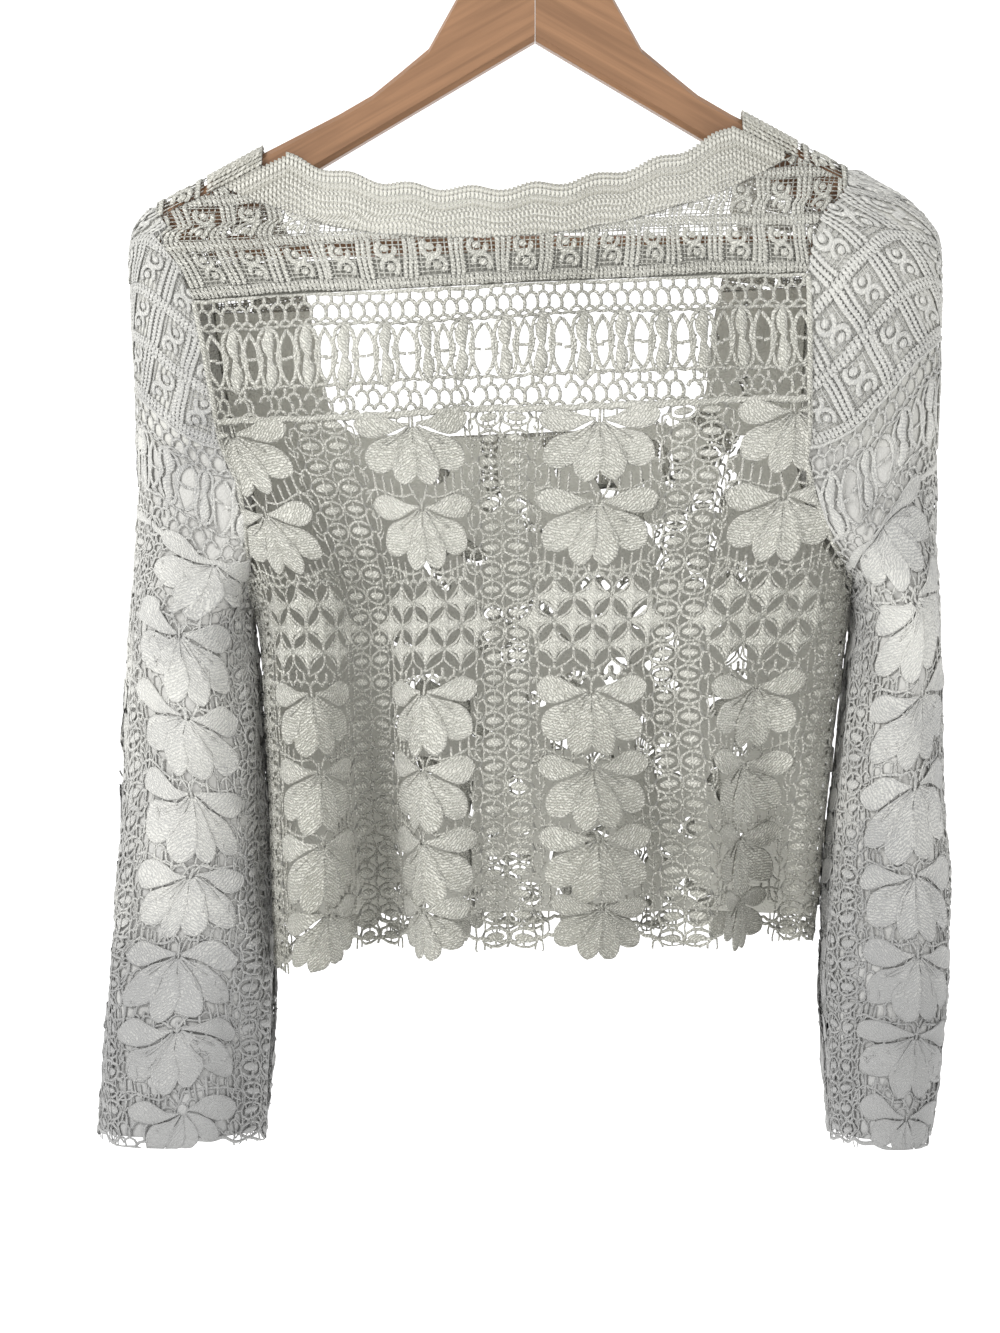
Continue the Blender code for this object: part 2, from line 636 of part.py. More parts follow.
def sleeve_half(name, lace, side, face):
    z = np.array(SLEEVE_ROWS, float)
    z[0] -= SEAM_GAP
    share = np.linspace(0.003, 0.996, SLEEVE_HALF_COLUMNS + 1)
    rows = np.repeat(z[:, None], len(share), axis=1)
    columns = np.repeat(share[None], len(z), axis=0)
    rows[-1] += CUFF_SCALLOP * np.cos(2 * math.pi * columns[-1] * 1.5)
    _, net_row, net_wide, net_tall = SLEEVE_NET_GAP
    _, _, wide, tall = SLEEVE_FLOWER_GAP
    gaps = [((k + 0.5) / SLEEVE_NET_GAPS * HALF_GIRTH, net_row, net_wide, -net_tall) for k in range(SLEEVE_NET_GAPS)]
    gaps += [(at * HALF_GIRTH, row, wide, -tall) for row in SLEEVE_GAP_ROWS for at in SLEEVE_GAP_SHARES]
    keep = np.ones((len(z) - 1, SLEEVE_HALF_COLUMNS), bool)
    sign = -1 if face > 0 else 1
    points, keep, done = cut(lambda c, r: sleeve_at(side, sign * c / HALF_GIRTH, r), rows, columns * HALF_GIRTH,
                             keep, gaps)
    cleared = points.copy()
    above = points[:, -1, 2] > UNDERARM_Z
    step = unit(points[:, -2] - points[:, -1])
    cleared[above, -1] += step[above] * ARMHOLE_GAP
    sheet(name, lace, cleared, keep, axis_x=side * SLEEVE_AXIS_X, normals=unit(surface_normals(points)))
    return done


def wood_arm(name, wood, side):
    """One arm: rounded rectangles lofted from the middle joint to the tip."""
    edge = WOOD_EDGE
    rings = []
    for x, top in WOOD_TOP:
        pinch = max((x - TIP_FROM) / TIP_LENGTH, 0.0)
        low = WOOD_UNDER_Z - WOOD_UNDER_SLOPE * x + TIP_RISE * pinch
        half = WOOD_HALF - TIP_THIN * pinch
        y = np.array([-half + edge, half - edge, half, half, half - edge, -half + edge, -half, -half])
        z = np.array([top, top, top - edge, low + edge, low, low, low + edge, top - edge])
        rings.append(np.stack([np.full(8, side * x), y, z], axis=-1))
    add_tube(name, wood, np.array(rings))


def add_tube(name, material, rings):
    """Rings of equal count joined into one closed tube with flat ends, its faces turned outwards."""
    n, m = rings.shape[:2]
    index = np.arange(n * m).reshape(n, m)
    a, b = index[:-1], index[1:]
    sides = np.stack([a, b, np.roll(b, -1, 1), np.roll(a, -1, 1)], axis=-1).reshape(-1, 4)
    corners = rings.reshape(-1, 3)
    faces = sides.tolist() + [index[0].tolist(), index[-1][::-1].tolist()]
    volume = sum(np.linalg.det(corners[[f[0], f[k], f[k + 1]]]) for f in faces for k in range(1, len(f) - 1))
    mesh = bpy.data.meshes.new(name)
    mesh.from_pydata((corners * MM).tolist(), [], faces if volume > 0 else [f[::-1] for f in faces])
    mesh.materials.append(material)
    mesh.update()
    made = bpy.data.objects.new(name, mesh)
    collection.objects.link(made)


def trouser_bar(wood):
    turn = np.linspace(0, 2 * math.pi, 13)[:-1]
    circle = np.stack([0 * turn, BAR_RADIUS * np.cos(turn), BAR_Z + BAR_RADIUS * np.sin(turn)], axis=-1)
    rings = np.array([circle + np.array([x, 0, 0]) for x in (-BAR_END, -90, 0, 90, BAR_END)])
    add_tube("hanger_bar", wood, rings)


def hook(steel):
    """A steel wire: straight up from the wood, out to the side, round the rail and down to a rounded tip."""
    radius = HOOK_INSIDE + WIRE
    centre = np.array([0.0, -HOOK_INSIDE])
    arc = np.radians(np.linspace(*HOOK_TURN, 19))
    path = list(HOOK_STEM)
    path += [(centre[0] + radius * math.cos(a), centre[1] + radius * math.sin(a)) for a in arc]
    path = np.array(path)
    tangent = unit(np.gradient(path, axis=0))
    across = np.stack([-tangent[:, 1], tangent[:, 0]], axis=-1)
    size = np.full(len(path), WIRE)
    size[-1] = WIRE * HOOK_TIP
    turn = np.linspace(0, 2 * math.pi, 9)[:-1]
    rings = []
    for point, side, r in zip(path, across, size):
        flat = point[None] + side[None] * (r * np.cos(turn))[:, None]
        rings.append(np.stack([flat[:, 0], r * np.sin(turn), flat[:, 1]], axis=-1))
    add_tube("hanger_hook", steel, np.array(rings))


def principled(name, colour, roughness, metallic=0.0):
    material = bpy.data.materials.new(name)
    material.use_nodes = True
    shader = material.node_tree.nodes["Principled BSDF"]
    shader.inputs["Base Color"].default_value = (*colour, 1)
    shader.inputs["Roughness"].default_value = roughness
    shader.inputs["Metallic"].default_value = metallic
    return material


def main():
    lace = principled("lace", (0.78, 0.77, 0.71), 0.8)
    knit = principled("neck_knit", (0.8, 0.79, 0.73), 0.82)
    wood = principled("hanger_wood", (0.38, 0.19, 0.09), 0.5)
    steel = principled("hook_steel", (0.6, 0.6, 0.6), 0.3, 1.0)
    holes = back_panel(lace)
    back_yoke(lace)
    neck_band_back(knit)
    for side, word in ((1, "right"), (-1, "left")):
        holes += front_panel("front_panel_" + word, lace, side)
        front_yoke("front_yoke_" + word, lace, side)
        neck_band_front("neck_band_front_" + word, knit, side)
        sleeve_cap("sleeve_cap_" + word, lace, side)
        holes += sleeve_half("sleeve_back_" + word, lace, side, 1)
        holes += sleeve_half("sleeve_front_" + word, lace, side, -1)
        wood_arm("hanger_arm_" + word, wood, side)
    trouser_bar(wood)
    hook(steel)
    print("gaps cut:", holes)


for thing in list(bpy.data.objects):
    bpy.data.objects.remove(thing, do_unlink=True)
collection = bpy.data.collections.new(NAME)
bpy.context.scene.collection.children.link(collection)
main()
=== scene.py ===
# %% [markdown]
# # Crochet lace cardigan on a wooden hanger
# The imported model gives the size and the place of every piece. This script dresses it: the lace is built as real
# threads, petals and knots laid on the curved walls, and the wood and steel get their finish.
# Everything is worked out in millimetres and turned into metres when a mesh is made.
import math

import bpy
import numpy as np
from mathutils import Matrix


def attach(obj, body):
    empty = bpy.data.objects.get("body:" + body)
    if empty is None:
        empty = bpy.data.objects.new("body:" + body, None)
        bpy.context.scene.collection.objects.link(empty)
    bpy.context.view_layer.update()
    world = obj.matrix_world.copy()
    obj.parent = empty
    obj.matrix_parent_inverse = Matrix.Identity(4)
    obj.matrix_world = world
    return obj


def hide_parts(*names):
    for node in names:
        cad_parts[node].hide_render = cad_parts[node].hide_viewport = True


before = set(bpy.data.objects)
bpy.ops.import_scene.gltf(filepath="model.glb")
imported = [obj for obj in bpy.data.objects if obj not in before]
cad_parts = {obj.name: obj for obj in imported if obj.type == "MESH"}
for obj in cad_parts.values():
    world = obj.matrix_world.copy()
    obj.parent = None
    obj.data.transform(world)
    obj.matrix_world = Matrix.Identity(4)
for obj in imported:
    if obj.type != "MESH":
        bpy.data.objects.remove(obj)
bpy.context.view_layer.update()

MM = 0.001
SIDES = ((1, "right"), (-1, "left"))

# %% [markdown]
# ## The garment's curved walls
# The real garment hangs from a wooden hanger: front and back lie close together at the ridge and open out below it.
# One ring at each height, a superellipse with a few folds, gives that form from a short table. It is the same
# surface that the solids are made from, so that the lace lies exactly where the walls are.

# %% Sizes and tables of the walls
YOKE_ROW_Z, QUARTER, HEM_V = -253.5, 225.0, 354.0
TILT_TOP, TILT_HEM, MIDDLE_X = 0.045, 0.01, -18.0
RIDGE_X, RIDGE_Z, RIDGE_SLOPE, RIDGE_ROUND = 114.5, -153.5, 0.54, 9.0
CLOSING, CLOSING_POWER = 50.0, 1.3

# level: left edge, right edge, back depth, front depth, squareness, centre back x, centre front x
BODY_COLUMNS = ("left", "right", "back", "front", "square", "mid_back", "mid_front")
BODY_ROWS = {
    -160.0: (-242, 206, 34, 34, 3.4, -18, -18),
    -253.5: (-236, 202, 41, 40, 3.2, -18, -8),
    -330.0: (-216, 198, 47, 47, 3.0, -18, -8),
    -390.0: (-176, 184, 51, 52, 2.6, -17.5, -9),
    -425.0: (-151, 173, 53, 54, 2.4, -17, -9),
    -500.0: (-146, 163, 54, 56, 2.4, -16, -9),
    -625.0: (-141, 151, 56, 58, 2.4, -14, -8),
}
# name, side (-1 back), x at the top, x at the hem, half width, depth at the hem, level it starts
BODY_FOLDS = (
    ("left front edge ridge", -1, -134, -121, 32, 30, -260),
    ("left valley", -1, -94, -82, 30, -34, -290),
    ("left flower ridge", -1, -66, -50, 26, 12, -350),
    ("centre valley", -1, -18, -13, 26, -9, -380),
    ("right flower ridge", -1, 36, 26, 30, 12, -380),
    ("right oval valley", -1, 84, 68, 24, -8, -400),
    ("right ridge", -1, 104, 92, 22, 8, -410),
    ("right valley", -1, 114, 120, 26, -36, -415),
    ("front left ridge", 1, -110, -100, 36, 20, -380),
    ("front left valley", 1, -60, -56, 32, -24, -380),
    ("front middle ridge", 1, -8, -8, 34, 14, -380),
    ("front right valley", 1, 48, 46, 32, -22, -380),
    ("front right ridge", 1, 96, 90, 34, 18, -400),
)
ARMHOLE_V = (-52, -40, -20, 0, 20, 60, 100, 120, 145, 162, 171)
ARMHOLE_U = (190, 181, 168, 162, 160, 158, 159, 167, 185, 206, 224.5)
UNDERARM_V = 171.0
# level: outer line, inner line, depth
RIGHT_SLEEVE = {
    -186.0: (176, 140, 20), -200.0: (202, 140, 24), -210.0: (214, 140, 27),
    -220.0: (221, 140, 30), -235.0: (223.5, 140, 34), -323.0: (222, 142, 46),
    -386.0: (219, 160, 54), -425.0: (220, 176.5, 56), -462.0: (221.5, 171.5, 57),
    -521.0: (223, 165, 57), -576.0: (226, 159, 57), -641.0: (224.5, 157.5, 57),
    -698.0: (219, 160.5, 55), -724.0: (214, 163, 54),
}
LEFT_SLEEVE = {
    -205.0: (210, 155, 20), -212.0: (217, 155, 24), -220.0: (221.5, 155, 27),
    -228.0: (223, 155, 30), -240.0: (223.5, 155, 34), -323.0: (219, 150, 43),
    -386.0: (217.5, 150, 46), -425.0: (220, 156.5, 47), -477.0: (224, 150.8, 47),
    -565.0: (228, 146.6, 47), -615.0: (231.5, 144.4, 47), -670.0: (236, 144.5, 48),
    -724.0: (239, 149, 49),
}
SLEEVE_SQUARE, WRAP_START_Z = 2.3, -352.0
SLEEVE_FOLDS = {
    1: ((1, -448, 40, 0.62, 0.26, 15), (1, -600, 90, 0.5, 0.2, 6), (-1, -520, 90, 0.5, 0.25, 8)),
    -1: ((1, -455, 45, 0.66, 0.26, 10), (1, -610, 80, 0.42, 0.2, 7), (-1, -540, 90, 0.5, 0.25, 8)),
}
print(len(BODY_ROWS), "rings and", len(BODY_FOLDS), "folds for the body")


# %% Rings of the body
def soft(rows, index, z, reach=14.0):
    """A table's column at height z: straight between rows, then averaged over a short reach so rows don't crease."""
    heights = np.array(sorted(rows))
    values = np.array([rows[h][index] for h in heights], float)
    spread = np.linspace(-reach, reach, 7)
    return np.mean([np.interp(np.asarray(z, float) + s, heights, values) for s in spread], axis=0)


def ramp(t):
    """0 below 0, 1 above 1, and an S between: t * t * (3 - 2 t)."""
    t = np.clip(t, 0, 1)
    return t * t * (3 - 2 * t)


def bump(t):
    """A round hump over -1..1: cos of a quarter turn, squared."""
    return np.where(np.abs(t) < 1, np.cos(np.clip(t, -1, 1) * math.pi / 2) ** 2, 0.0)


def ridge(x):
    """Height of the cloth's top line over the hanger at x: a straight slope each way."""
    return RIDGE_Z - RIDGE_SLOPE * (np.abs(x) - RIDGE_X)


def tilt(level):
    """How much the rows climb to the right: most at the yoke, least at the hem."""
    return TILT_TOP + (TILT_HEM - TILT_TOP) * ramp((YOKE_ROW_Z - level) / HEM_V)


def close_up(x, y, z):
    """Draws the two sheets together below the ridge: y = r + (y0 - r) * (1 - exp(-((d - r) / c) ^ p)), d below it."""
    below = np.maximum(ridge(x) - z, 0.0)
    share = 1 - np.exp(-(np.maximum(below - RIDGE_ROUND, 0) / CLOSING) ** CLOSING_POWER)
    round_top = RIDGE_ROUND * np.sqrt(np.clip(1 - (1 - np.minimum(below / RIDGE_ROUND, 1)) ** 2, 0, 1))
    far = below > 150
    depth = np.where(far, np.abs(y), round_top + (np.abs(y) - RIDGE_ROUND) * share)
    return np.sign(y) * np.where(far | (np.abs(y) > RIDGE_ROUND), depth, np.abs(y) + (depth - np.abs(y)) * (1 - share))


def ring_points(level):
    """One ring: a superellipse with its folds, tilted, and closed below the ridge."""
    row = {name: float(soft(BODY_ROWS, i, level)) for i, name in enumerate(BODY_COLUMNS)}
    turn = np.linspace(0, 2 * math.pi, 1441)
    middle, half = (row["left"] + row["right"]) / 2, (row["right"] - row["left"]) / 2
    s, c = np.sin(turn), np.cos(turn)
    reach = (np.abs(s) ** row["square"] + np.abs(c) ** row["square"]) ** (-1 / row["square"])
    x = middle + half * reach * s
    y = -np.where(c > 0, row["back"], row["front"]) * reach * c
    low = (YOKE_ROW_Z - level) / HEM_V
    for _, side, top_x, hem_x, width, depth, start in BODY_FOLDS:
        grown = ramp((start - level) / (start - YOKE_ROW_Z + HEM_V))
        at = top_x + (hem_x - top_x) * np.clip(low, 0, 1)
        y = y + side * depth * grown * bump((x - at) / width) * (side * y > 0)
    z = level + tilt(level) * (x - MIDDLE_X)
    return x, close_up(x, y, z), z, row


def body_grid(levels, stations):
    """Points [level, station]: each ring by its own length, with the centres and the side lines at their stations."""
    grid = np.empty((len(levels), len(stations), 3))
    for i, level in enumerate(levels):
        x, y, z, row = ring_points(level)
        length = np.concatenate([[0], np.cumsum(np.hypot(np.diff(x), np.diff(y)))])
        n = len(x)
        right, left = n // 4, 3 * n // 4
        back_at = np.interp(row["mid_back"], x[:right], length[:right])
        if row["mid_back"] < x[0]:
            back_at = np.interp(row["mid_back"], x[left:], length[left:]) - length[-1]
        front_at = np.interp(-row["mid_front"], -x[right:left], length[right:left])
        knots = np.array([back_at, length[right], front_at, length[left], back_at + length[-1]])
        along = np.interp(np.mod(stations, 4 * QUARTER), QUARTER * np.arange(5), knots)
        for k, values in enumerate((x, y, z)):
            grid[i, :, k] = np.interp(np.mod(along, length[-1]), length, values)
    return grid


waist_x, waist_y = ring_points(-500.0)[:2]
print("girth at the waist", round(float(np.hypot(np.diff(waist_x), np.diff(waist_y)).sum())), "mm")


# %% [markdown]
# ## A chart for each wall
# Lace is drawn flat, so each wall gets a chart: how far across, how far down. A chart reads the wall's points and
# its outward normals between grid lines. The sleeves and the strip over the shoulder have charts of their own.

# %% Charts
def unit(vectors):
    """Each vector over its own length."""
    return vectors / np.maximum(np.linalg.norm(vectors, axis=-1, keepdims=True), 1e-9)


def read_grid(grid, rows, columns, row, column):
    """Reads a grid between its rows and columns, straight both ways."""
    r = np.clip((row - rows[0]) / (rows[1] - rows[0]), 0, len(rows) - 1.001)
    c = np.clip((column - columns[0]) / (columns[1] - columns[0]), 0, len(columns) - 1.001)
    i, j = r.astype(int), c.astype(int)
    a, b = (r - i)[..., None], (c - j)[..., None]
    return ((1 - a) * (1 - b) * grid[i, j] + (1 - a) * b * grid[i, j + 1]
            + a * (1 - b) * grid[i + 1, j] + a * b * grid[i + 1, j + 1])


def grid_normals(grid, outward=1):
    """Outward normals of a grid: the cross product of its steps down and its steps across, made one long."""
    return outward * unit(np.cross(np.gradient(grid, axis=0), np.gradient(grid, axis=1)))


class Chart:
    """A wall's points and normals over a flat chart: across and down, in millimetres."""

    def __init__(self, grid, rows, columns, outward=1):
        self.grid, self.rows, self.columns = grid, rows, columns
        self.normals = grid_normals(grid, outward)

    def at(self, across, down):
        return read_grid(self.grid, self.rows, self.columns, down, across)

    def place(self, across, down, height):
        normals = unit(read_grid(self.normals, self.rows, self.columns, down, across))
        return self.at(across, down) + normals * height[:, None]


LEVELS_V = np.arange(-100.0, 372.1, 3.0)
STATIONS = np.arange(-QUARTER * 2 - 6, QUARTER * 2 + 6.1, 2.0)
body = Chart(body_grid(YOKE_ROW_Z - LEVELS_V, STATIONS), LEVELS_V, STATIONS)
print("body chart", body.grid.shape)


def front_across(side, across):
    """The body chart's across for a distance from the centre front, on one side (1 right)."""
    return side * (2 * QUARTER - across)


def front_place(side):
    """The body chart for one side of the front, its across counted from the centre front."""
    return lambda across, down, up: body.place(front_across(side, across), down, up)


# %% Sleeve charts
def armhole_u(v):
    """Distance of the armhole from the centre line: straight between the table's rows."""
    return np.interp(v, ARMHOLE_V, ARMHOLE_U)


def armhole_line(side, face):
    """The armhole's edge from the ridge down to the underarm, on one side (1 right) and one face (1 back)."""
    v = np.arange(-50.0, UNDERARM_V + 0.1, 2.0)
    u = armhole_u(v)
    points = body.at(side * (u if face > 0 else 2 * QUARTER - u), v)
    points[-3:, 1] *= np.array([0.8, 0.45, 0.1])
    top = points[0]
    over = np.array([[top[0], 0, ridge(top[0])], [top[0], top[1] * 0.7, ridge(top[0]) - 2.6]])
    return np.concatenate([over, points])


def sleeve_slices(side, heights, shares):
    """Points [height, share] and each slice's half girth: part of a superellipse from the outer line to the armhole."""
    table = RIGHT_SLEEVE if side > 0 else LEFT_SLEEVE
    grid = np.empty((len(heights), len(shares), 3))
    girth = np.zeros(len(heights))
    for face, picked in ((1, shares <= 0), (-1, shares > 0)):
        edge = armhole_line(side, face)
        for i, z in enumerate(heights):
            out, inn, deep = (float(soft(table, k, z, 4.0 if z > -240 else 12.0)) for k in range(3))
            wrap = float(ramp((WRAP_START_Z - z) / (WRAP_START_Z - edge[-1, 2])))
            at_x, at_y = (float(np.interp(-z, -edge[:, 2], np.abs(edge[:, k]))) for k in (0, 1))
            depth = at_y * (1 - wrap) + deep * wrap
            above = z > edge[-1, 2]
            end = math.pi - math.asin(min(at_y / max(depth, 0.1), 1)) if above else math.pi
            turn = np.linspace(0, end, 181)
            reach = (np.abs(np.cos(turn)) ** SLEEVE_SQUARE + np.sin(turn) ** SLEEVE_SQUARE) ** (-1 / SLEEVE_SQUARE)
            back = abs(reach[-1] * math.cos(end))
            goal = at_x if above else inn
            centre = (goal + out * back) / (1 + back)
            x = centre + (out - centre) * reach * np.cos(turn)
            y = depth * reach * np.sin(turn)
            if above:
                y = y + (turn / end) ** 2 * (at_y - y[-1])
            length = np.concatenate([[0], np.cumsum(np.hypot(np.diff(x), np.diff(y)))])
            share = length / length[-1]
            girth[i] += length[-1] / 2
            for fold_face, fold_z, tall, middle, wide, dent in SLEEVE_FOLDS[side]:
                if fold_face == face:
                    y = y - dent * bump((z - fold_z) / tall) * bump((share - middle) / wide)
            want = np.abs(shares[picked])
            grid[i, picked, 0] = side * np.interp(want, share, x)
            grid[i, picked, 1] = -face * np.interp(want, share, y)
            grid[i, picked, 2] = z
    return grid, girth


HALF_GIRTH = 145.0
SHARES = np.linspace(-1, 1, 161)
HEIGHTS = np.arange(-730.0, -183.9, 2.0)


class SleeveChart:
    """A sleeve's wall: across goes round from the outer line (back negative), down is the depth below the origin.

    The way round is a share of the wall's own girth, so the pattern's nominal girth fits at every height."""

    def __init__(self, side):
        grid, girth = sleeve_slices(side, HEIGHTS, SHARES)
        self.side = side
        self.chart = Chart(grid, HEIGHTS, SHARES, -side)
        low = girth[HEIGHTS < -440].mean()
        self.girth = np.where(HEIGHTS < -426, HALF_GIRTH, np.minimum(girth / low, 1.0) * HALF_GIRTH)

    def half(self, down):
        return np.interp(-down, HEIGHTS, self.girth)

    def place(self, across, down, height):
        share = np.clip(across / self.half(down), -1, 1)
        return self.chart.place(share, -down, height)


sleeves = {side: SleeveChart(side) for side in (1, -1)}
print("sleeve half girth at the cap", round(float(sleeves[1].half(np.array([260.0]))[0])))

# %% [markdown]
# ## Threads, petals and knots
# Real lace is stitched thread by thread. It could be a picture on a plane, which looks flat from the side, or curve
# objects, which are slow by the thousand. Here every motif is a rounded strip swept along a short path: a thin
# diamond for a net thread, a wider section with a raised rim for a petal, a dome for a knot. One function sweeps
# them flat on the chart, and a second one repeats a motif at many places as one array.

# %% Sweeps
THREAD = np.array([(1, 0), (0, 1), (-1, 0), (0, -0.8)])
CORD = np.array([(1, 0), (0.6, 0.8), (-0.6, 0.8), (-1, 0), (0, -0.8)])
PETAL = np.array([(1, 0.0), (0.9, 1.15), (0.7, 0.4), (0, 0.75), (-0.7, 0.4), (-0.9, 1.15), (-1, 0.0),
                  (-0.5, -0.45), (0.5, -0.45)])
KNOT = np.array([(1, 0), (0.72, 0.8), (0, 1.05), (-0.72, 0.8), (-1, 0), (0, -0.5)])


def cap(ring):
    """Closes a ring of points with a fan of four-cornered faces; the last may name a point twice, as a triangle."""
    last = len(ring) - 1
    return np.array([(ring[0], ring[i], ring[i + 1], ring[min(i + 2, last)]) for i in range(1, last, 2)])


def sweep(path, half, high, section=THREAD, closed=False, lift=0.0):
    """A section carried along a flat path: across by half, up by high. Returns points, quads and (along, across)."""
    path = np.asarray(path, float)
    n, m = len(path), len(section)
    half = np.broadcast_to(np.asarray(half, float), n)
    high = np.broadcast_to(np.asarray(high, float), n)
    if closed:
        step = np.roll(path, -1, 0) - np.roll(path, 1, 0)
    else:
        step = np.gradient(path, axis=0)
    step = unit(step)
    side = np.stack([-step[:, 1], step[:, 0]], axis=-1)
    flat = path[:, None] + side[:, None] * (half[:, None] * section[None, :, 0])[..., None]
    up = lift + high[:, None] * section[None, :, 1]
    points = np.concatenate([flat, up[..., None]], axis=-1).reshape(-1, 3)
    along = np.concatenate([[0], np.cumsum(np.linalg.norm(np.diff(path, axis=0), axis=1))])
    uv = np.stack([np.repeat(along, m), (half[:, None] * section[None, :, 0]).reshape(-1)], axis=-1)
    index = np.arange(n * m).reshape(n, m)
    a = index if closed else index[:-1]
    b = np.roll(index, -1, 0) if closed else index[1:]
    quads = np.stack([a, b, np.roll(b, -1, 1), np.roll(a, -1, 1)], axis=-1).reshape(-1, 4)
    if not closed:
        quads = np.concatenate([quads, cap(index[0]), cap(index[-1])[:, ::-1]])
    return points, quads, uv


def join(*parts):
    """Several sweeps as one motif."""
    points, quads, uv, start = [], [], [], 0
    for p, q, t in parts:
        points.append(p)
        quads.append(q + start)
        uv.append(t)
        start += len(p)
    return np.concatenate(points), np.concatenate(quads), np.concatenate(uv)


def mirrored(part):
    """The motif's mirror image, its faces turned so that they still point out."""
    points, quads, uv = part
    return points * np.array([-1, 1, 1]), quads[:, ::-1], uv


def moved(part, across=0.0, down=0.0, lift=0.0, turn=0.0, size=1.0):
    """The motif scaled, turned by a rotation in the flat, and moved."""
    points, quads, uv = part
    c, s = math.cos(turn), math.sin(turn)
    flat = points[:, :2] * size @ np.array([[c, s], [-s, c]])
    return np.concatenate([flat + (across, down), points[:, 2:] + lift], axis=-1), quads, uv


def chance(places, seed):
    """A value of -1..1 for each place, the same wherever that place is asked for: the end digits of a large sine."""
    large = np.sin(places[:, 0] * 12.9898 + places[:, 1] * 78.233 + seed * 37.719) * 43758.5453
    return 2 * (large - np.floor(large)) - 1


def repeat(part, across, down, jitter=0.35):
    """The motif at many places of the chart, each a little off its place and size, as hand-laid thread is."""
    points, quads, uv = part
    across, down = np.broadcast_arrays(np.asarray(across, float), np.asarray(down, float))
    places = np.stack([across.ravel(), down.ravel()], axis=-1)
    k = len(places)
    if k == 0:
        return np.zeros((0, 3)), np.zeros((0, 4), int), np.zeros((0, 2))
    size = 1 + 0.03 * chance(places, 1)[:, None, None]
    lean = 0.045 * chance(places, 2)[:, None]
    x, y = points[None, :, 0], points[None, :, 1]
    flat = np.stack([x - lean * y, y + lean * x], axis=-1) * size + places[:, None]
    flat = flat + 1.5 * jitter * np.stack([chance(places, 3), chance(places, 4)], axis=-1)[:, None]
    up = points[None, :, 2:] + 0.2 * chance(places, 5)[:, None, None]
    all_points = np.concatenate([flat, np.broadcast_to(up, (k, len(points), 1))], axis=-1).reshape(-1, 3)
    all_quads = (quads[None] + (np.arange(k) * len(points))[:, None, None]).reshape(-1, 4)
    shift = 40 * np.stack([chance(places, 6), chance(places, 7)], axis=-1)[:, None]
    return all_points, all_quads, (uv[None] + shift).reshape(-1, 2)


def line(points, radius=0.62, section=THREAD, lift=0.0, high=None):
    """A thread of even thickness along a path."""
    return sweep(points, radius, radius if high is None else high, section, lift=lift)


def threads(radius, *paths):
    """Several threads of one thickness."""
    return [line(path, radius) for path in paths]


def arc(start, middle, end, count=5):
    """Points of a curve through three points: a parabola by Bezier's rule."""
    t = np.linspace(0, 1, count)[:, None]
    a, b, c = (np.asarray(p, float) for p in (start, middle, end))
    control = 2 * b - (a + c) / 2
    return (1 - t) ** 2 * a + 2 * t * (1 - t) * control + t ** 2 * c


def loop(across, down, wide, tall, count=10, turn=0.0):
    """Points of an ellipse round a centre."""
    angle = np.linspace(0, 2 * math.pi, count, endpoint=False)
    x, y = wide * np.cos(angle), tall * np.sin(angle)
    c, s = math.cos(turn), math.sin(turn)
    return np.stack([across + x * c - y * s, down + x * s + y * c], axis=-1)


def grow(fraction, table):
    """A table read at a fraction, straight between its rows."""
    return np.interp(fraction, *zip(*table))


print("corners of a thread", len(THREAD), "cord", len(CORD), "petal", len(PETAL), "knot", len(KNOT))


# %% [markdown]
# ## The flower
# Each flower hangs from one point: two petals out to the sides, two aslant and two almost straight down. A petal is
# narrow at its root, widest at two thirds, and rounded at its tip, with a corded rim round a field of satin stitch.

# %% Petals and flowers
PETAL_WIDTH = ((0, 0.10), (0.08, 0.17), (0.22, 0.34), (0.4, 0.7), (0.58, 0.97), (0.72, 1.0), (0.86, 0.82),
               (0.95, 0.5), (1, 0.1))


def petal(angle, length, half, lift, curl=0.0):
    """A strip from the root at the origin, its half width from a short table, rising a little to its tip."""
    t = np.array([p[0] for p in PETAL_WIDTH])
    width = half * grow(t, PETAL_WIDTH)
    bend = curl * np.sin(t * math.pi)
    a = math.radians(angle)
    reach = 2.0 + t * (length - 2.0)
    path = np.stack([reach * math.cos(a) - bend * math.sin(a), reach * math.sin(a) + bend * math.cos(a)], axis=-1)
    high = 0.35 + 0.75 * np.sin(np.clip(t, 0.02, 0.98) * math.pi) ** 0.5
    return sweep(path, width, high, PETAL, lift=lift)


def right_petals():
    """The three petals of a flower's right half, each with its angle and length, and two veins."""
    veins = [line([(2, 1.0), (9, 6.5), (16, 11)], 0.7, CORD, 1.0),
             line([(1.6, 2), (7.5, 11), (11, 20)], 0.7, CORD, 1.0)]
    return join(petal(77, 34.5, 7.6, 0.6, -0.8), petal(40, 36, 8.9, 0.0, 1.0), petal(-4, 31.5, 7.0, 1.0, 1.2), *veins)


def flower():
    """The right half, its mirror image and a stem: six petals from one root."""
    half = right_petals()
    stem = line([(0, -5), (0, 0), (0, 3)], 0.8, CORD)
    return join(half, mirrored(half), stem)


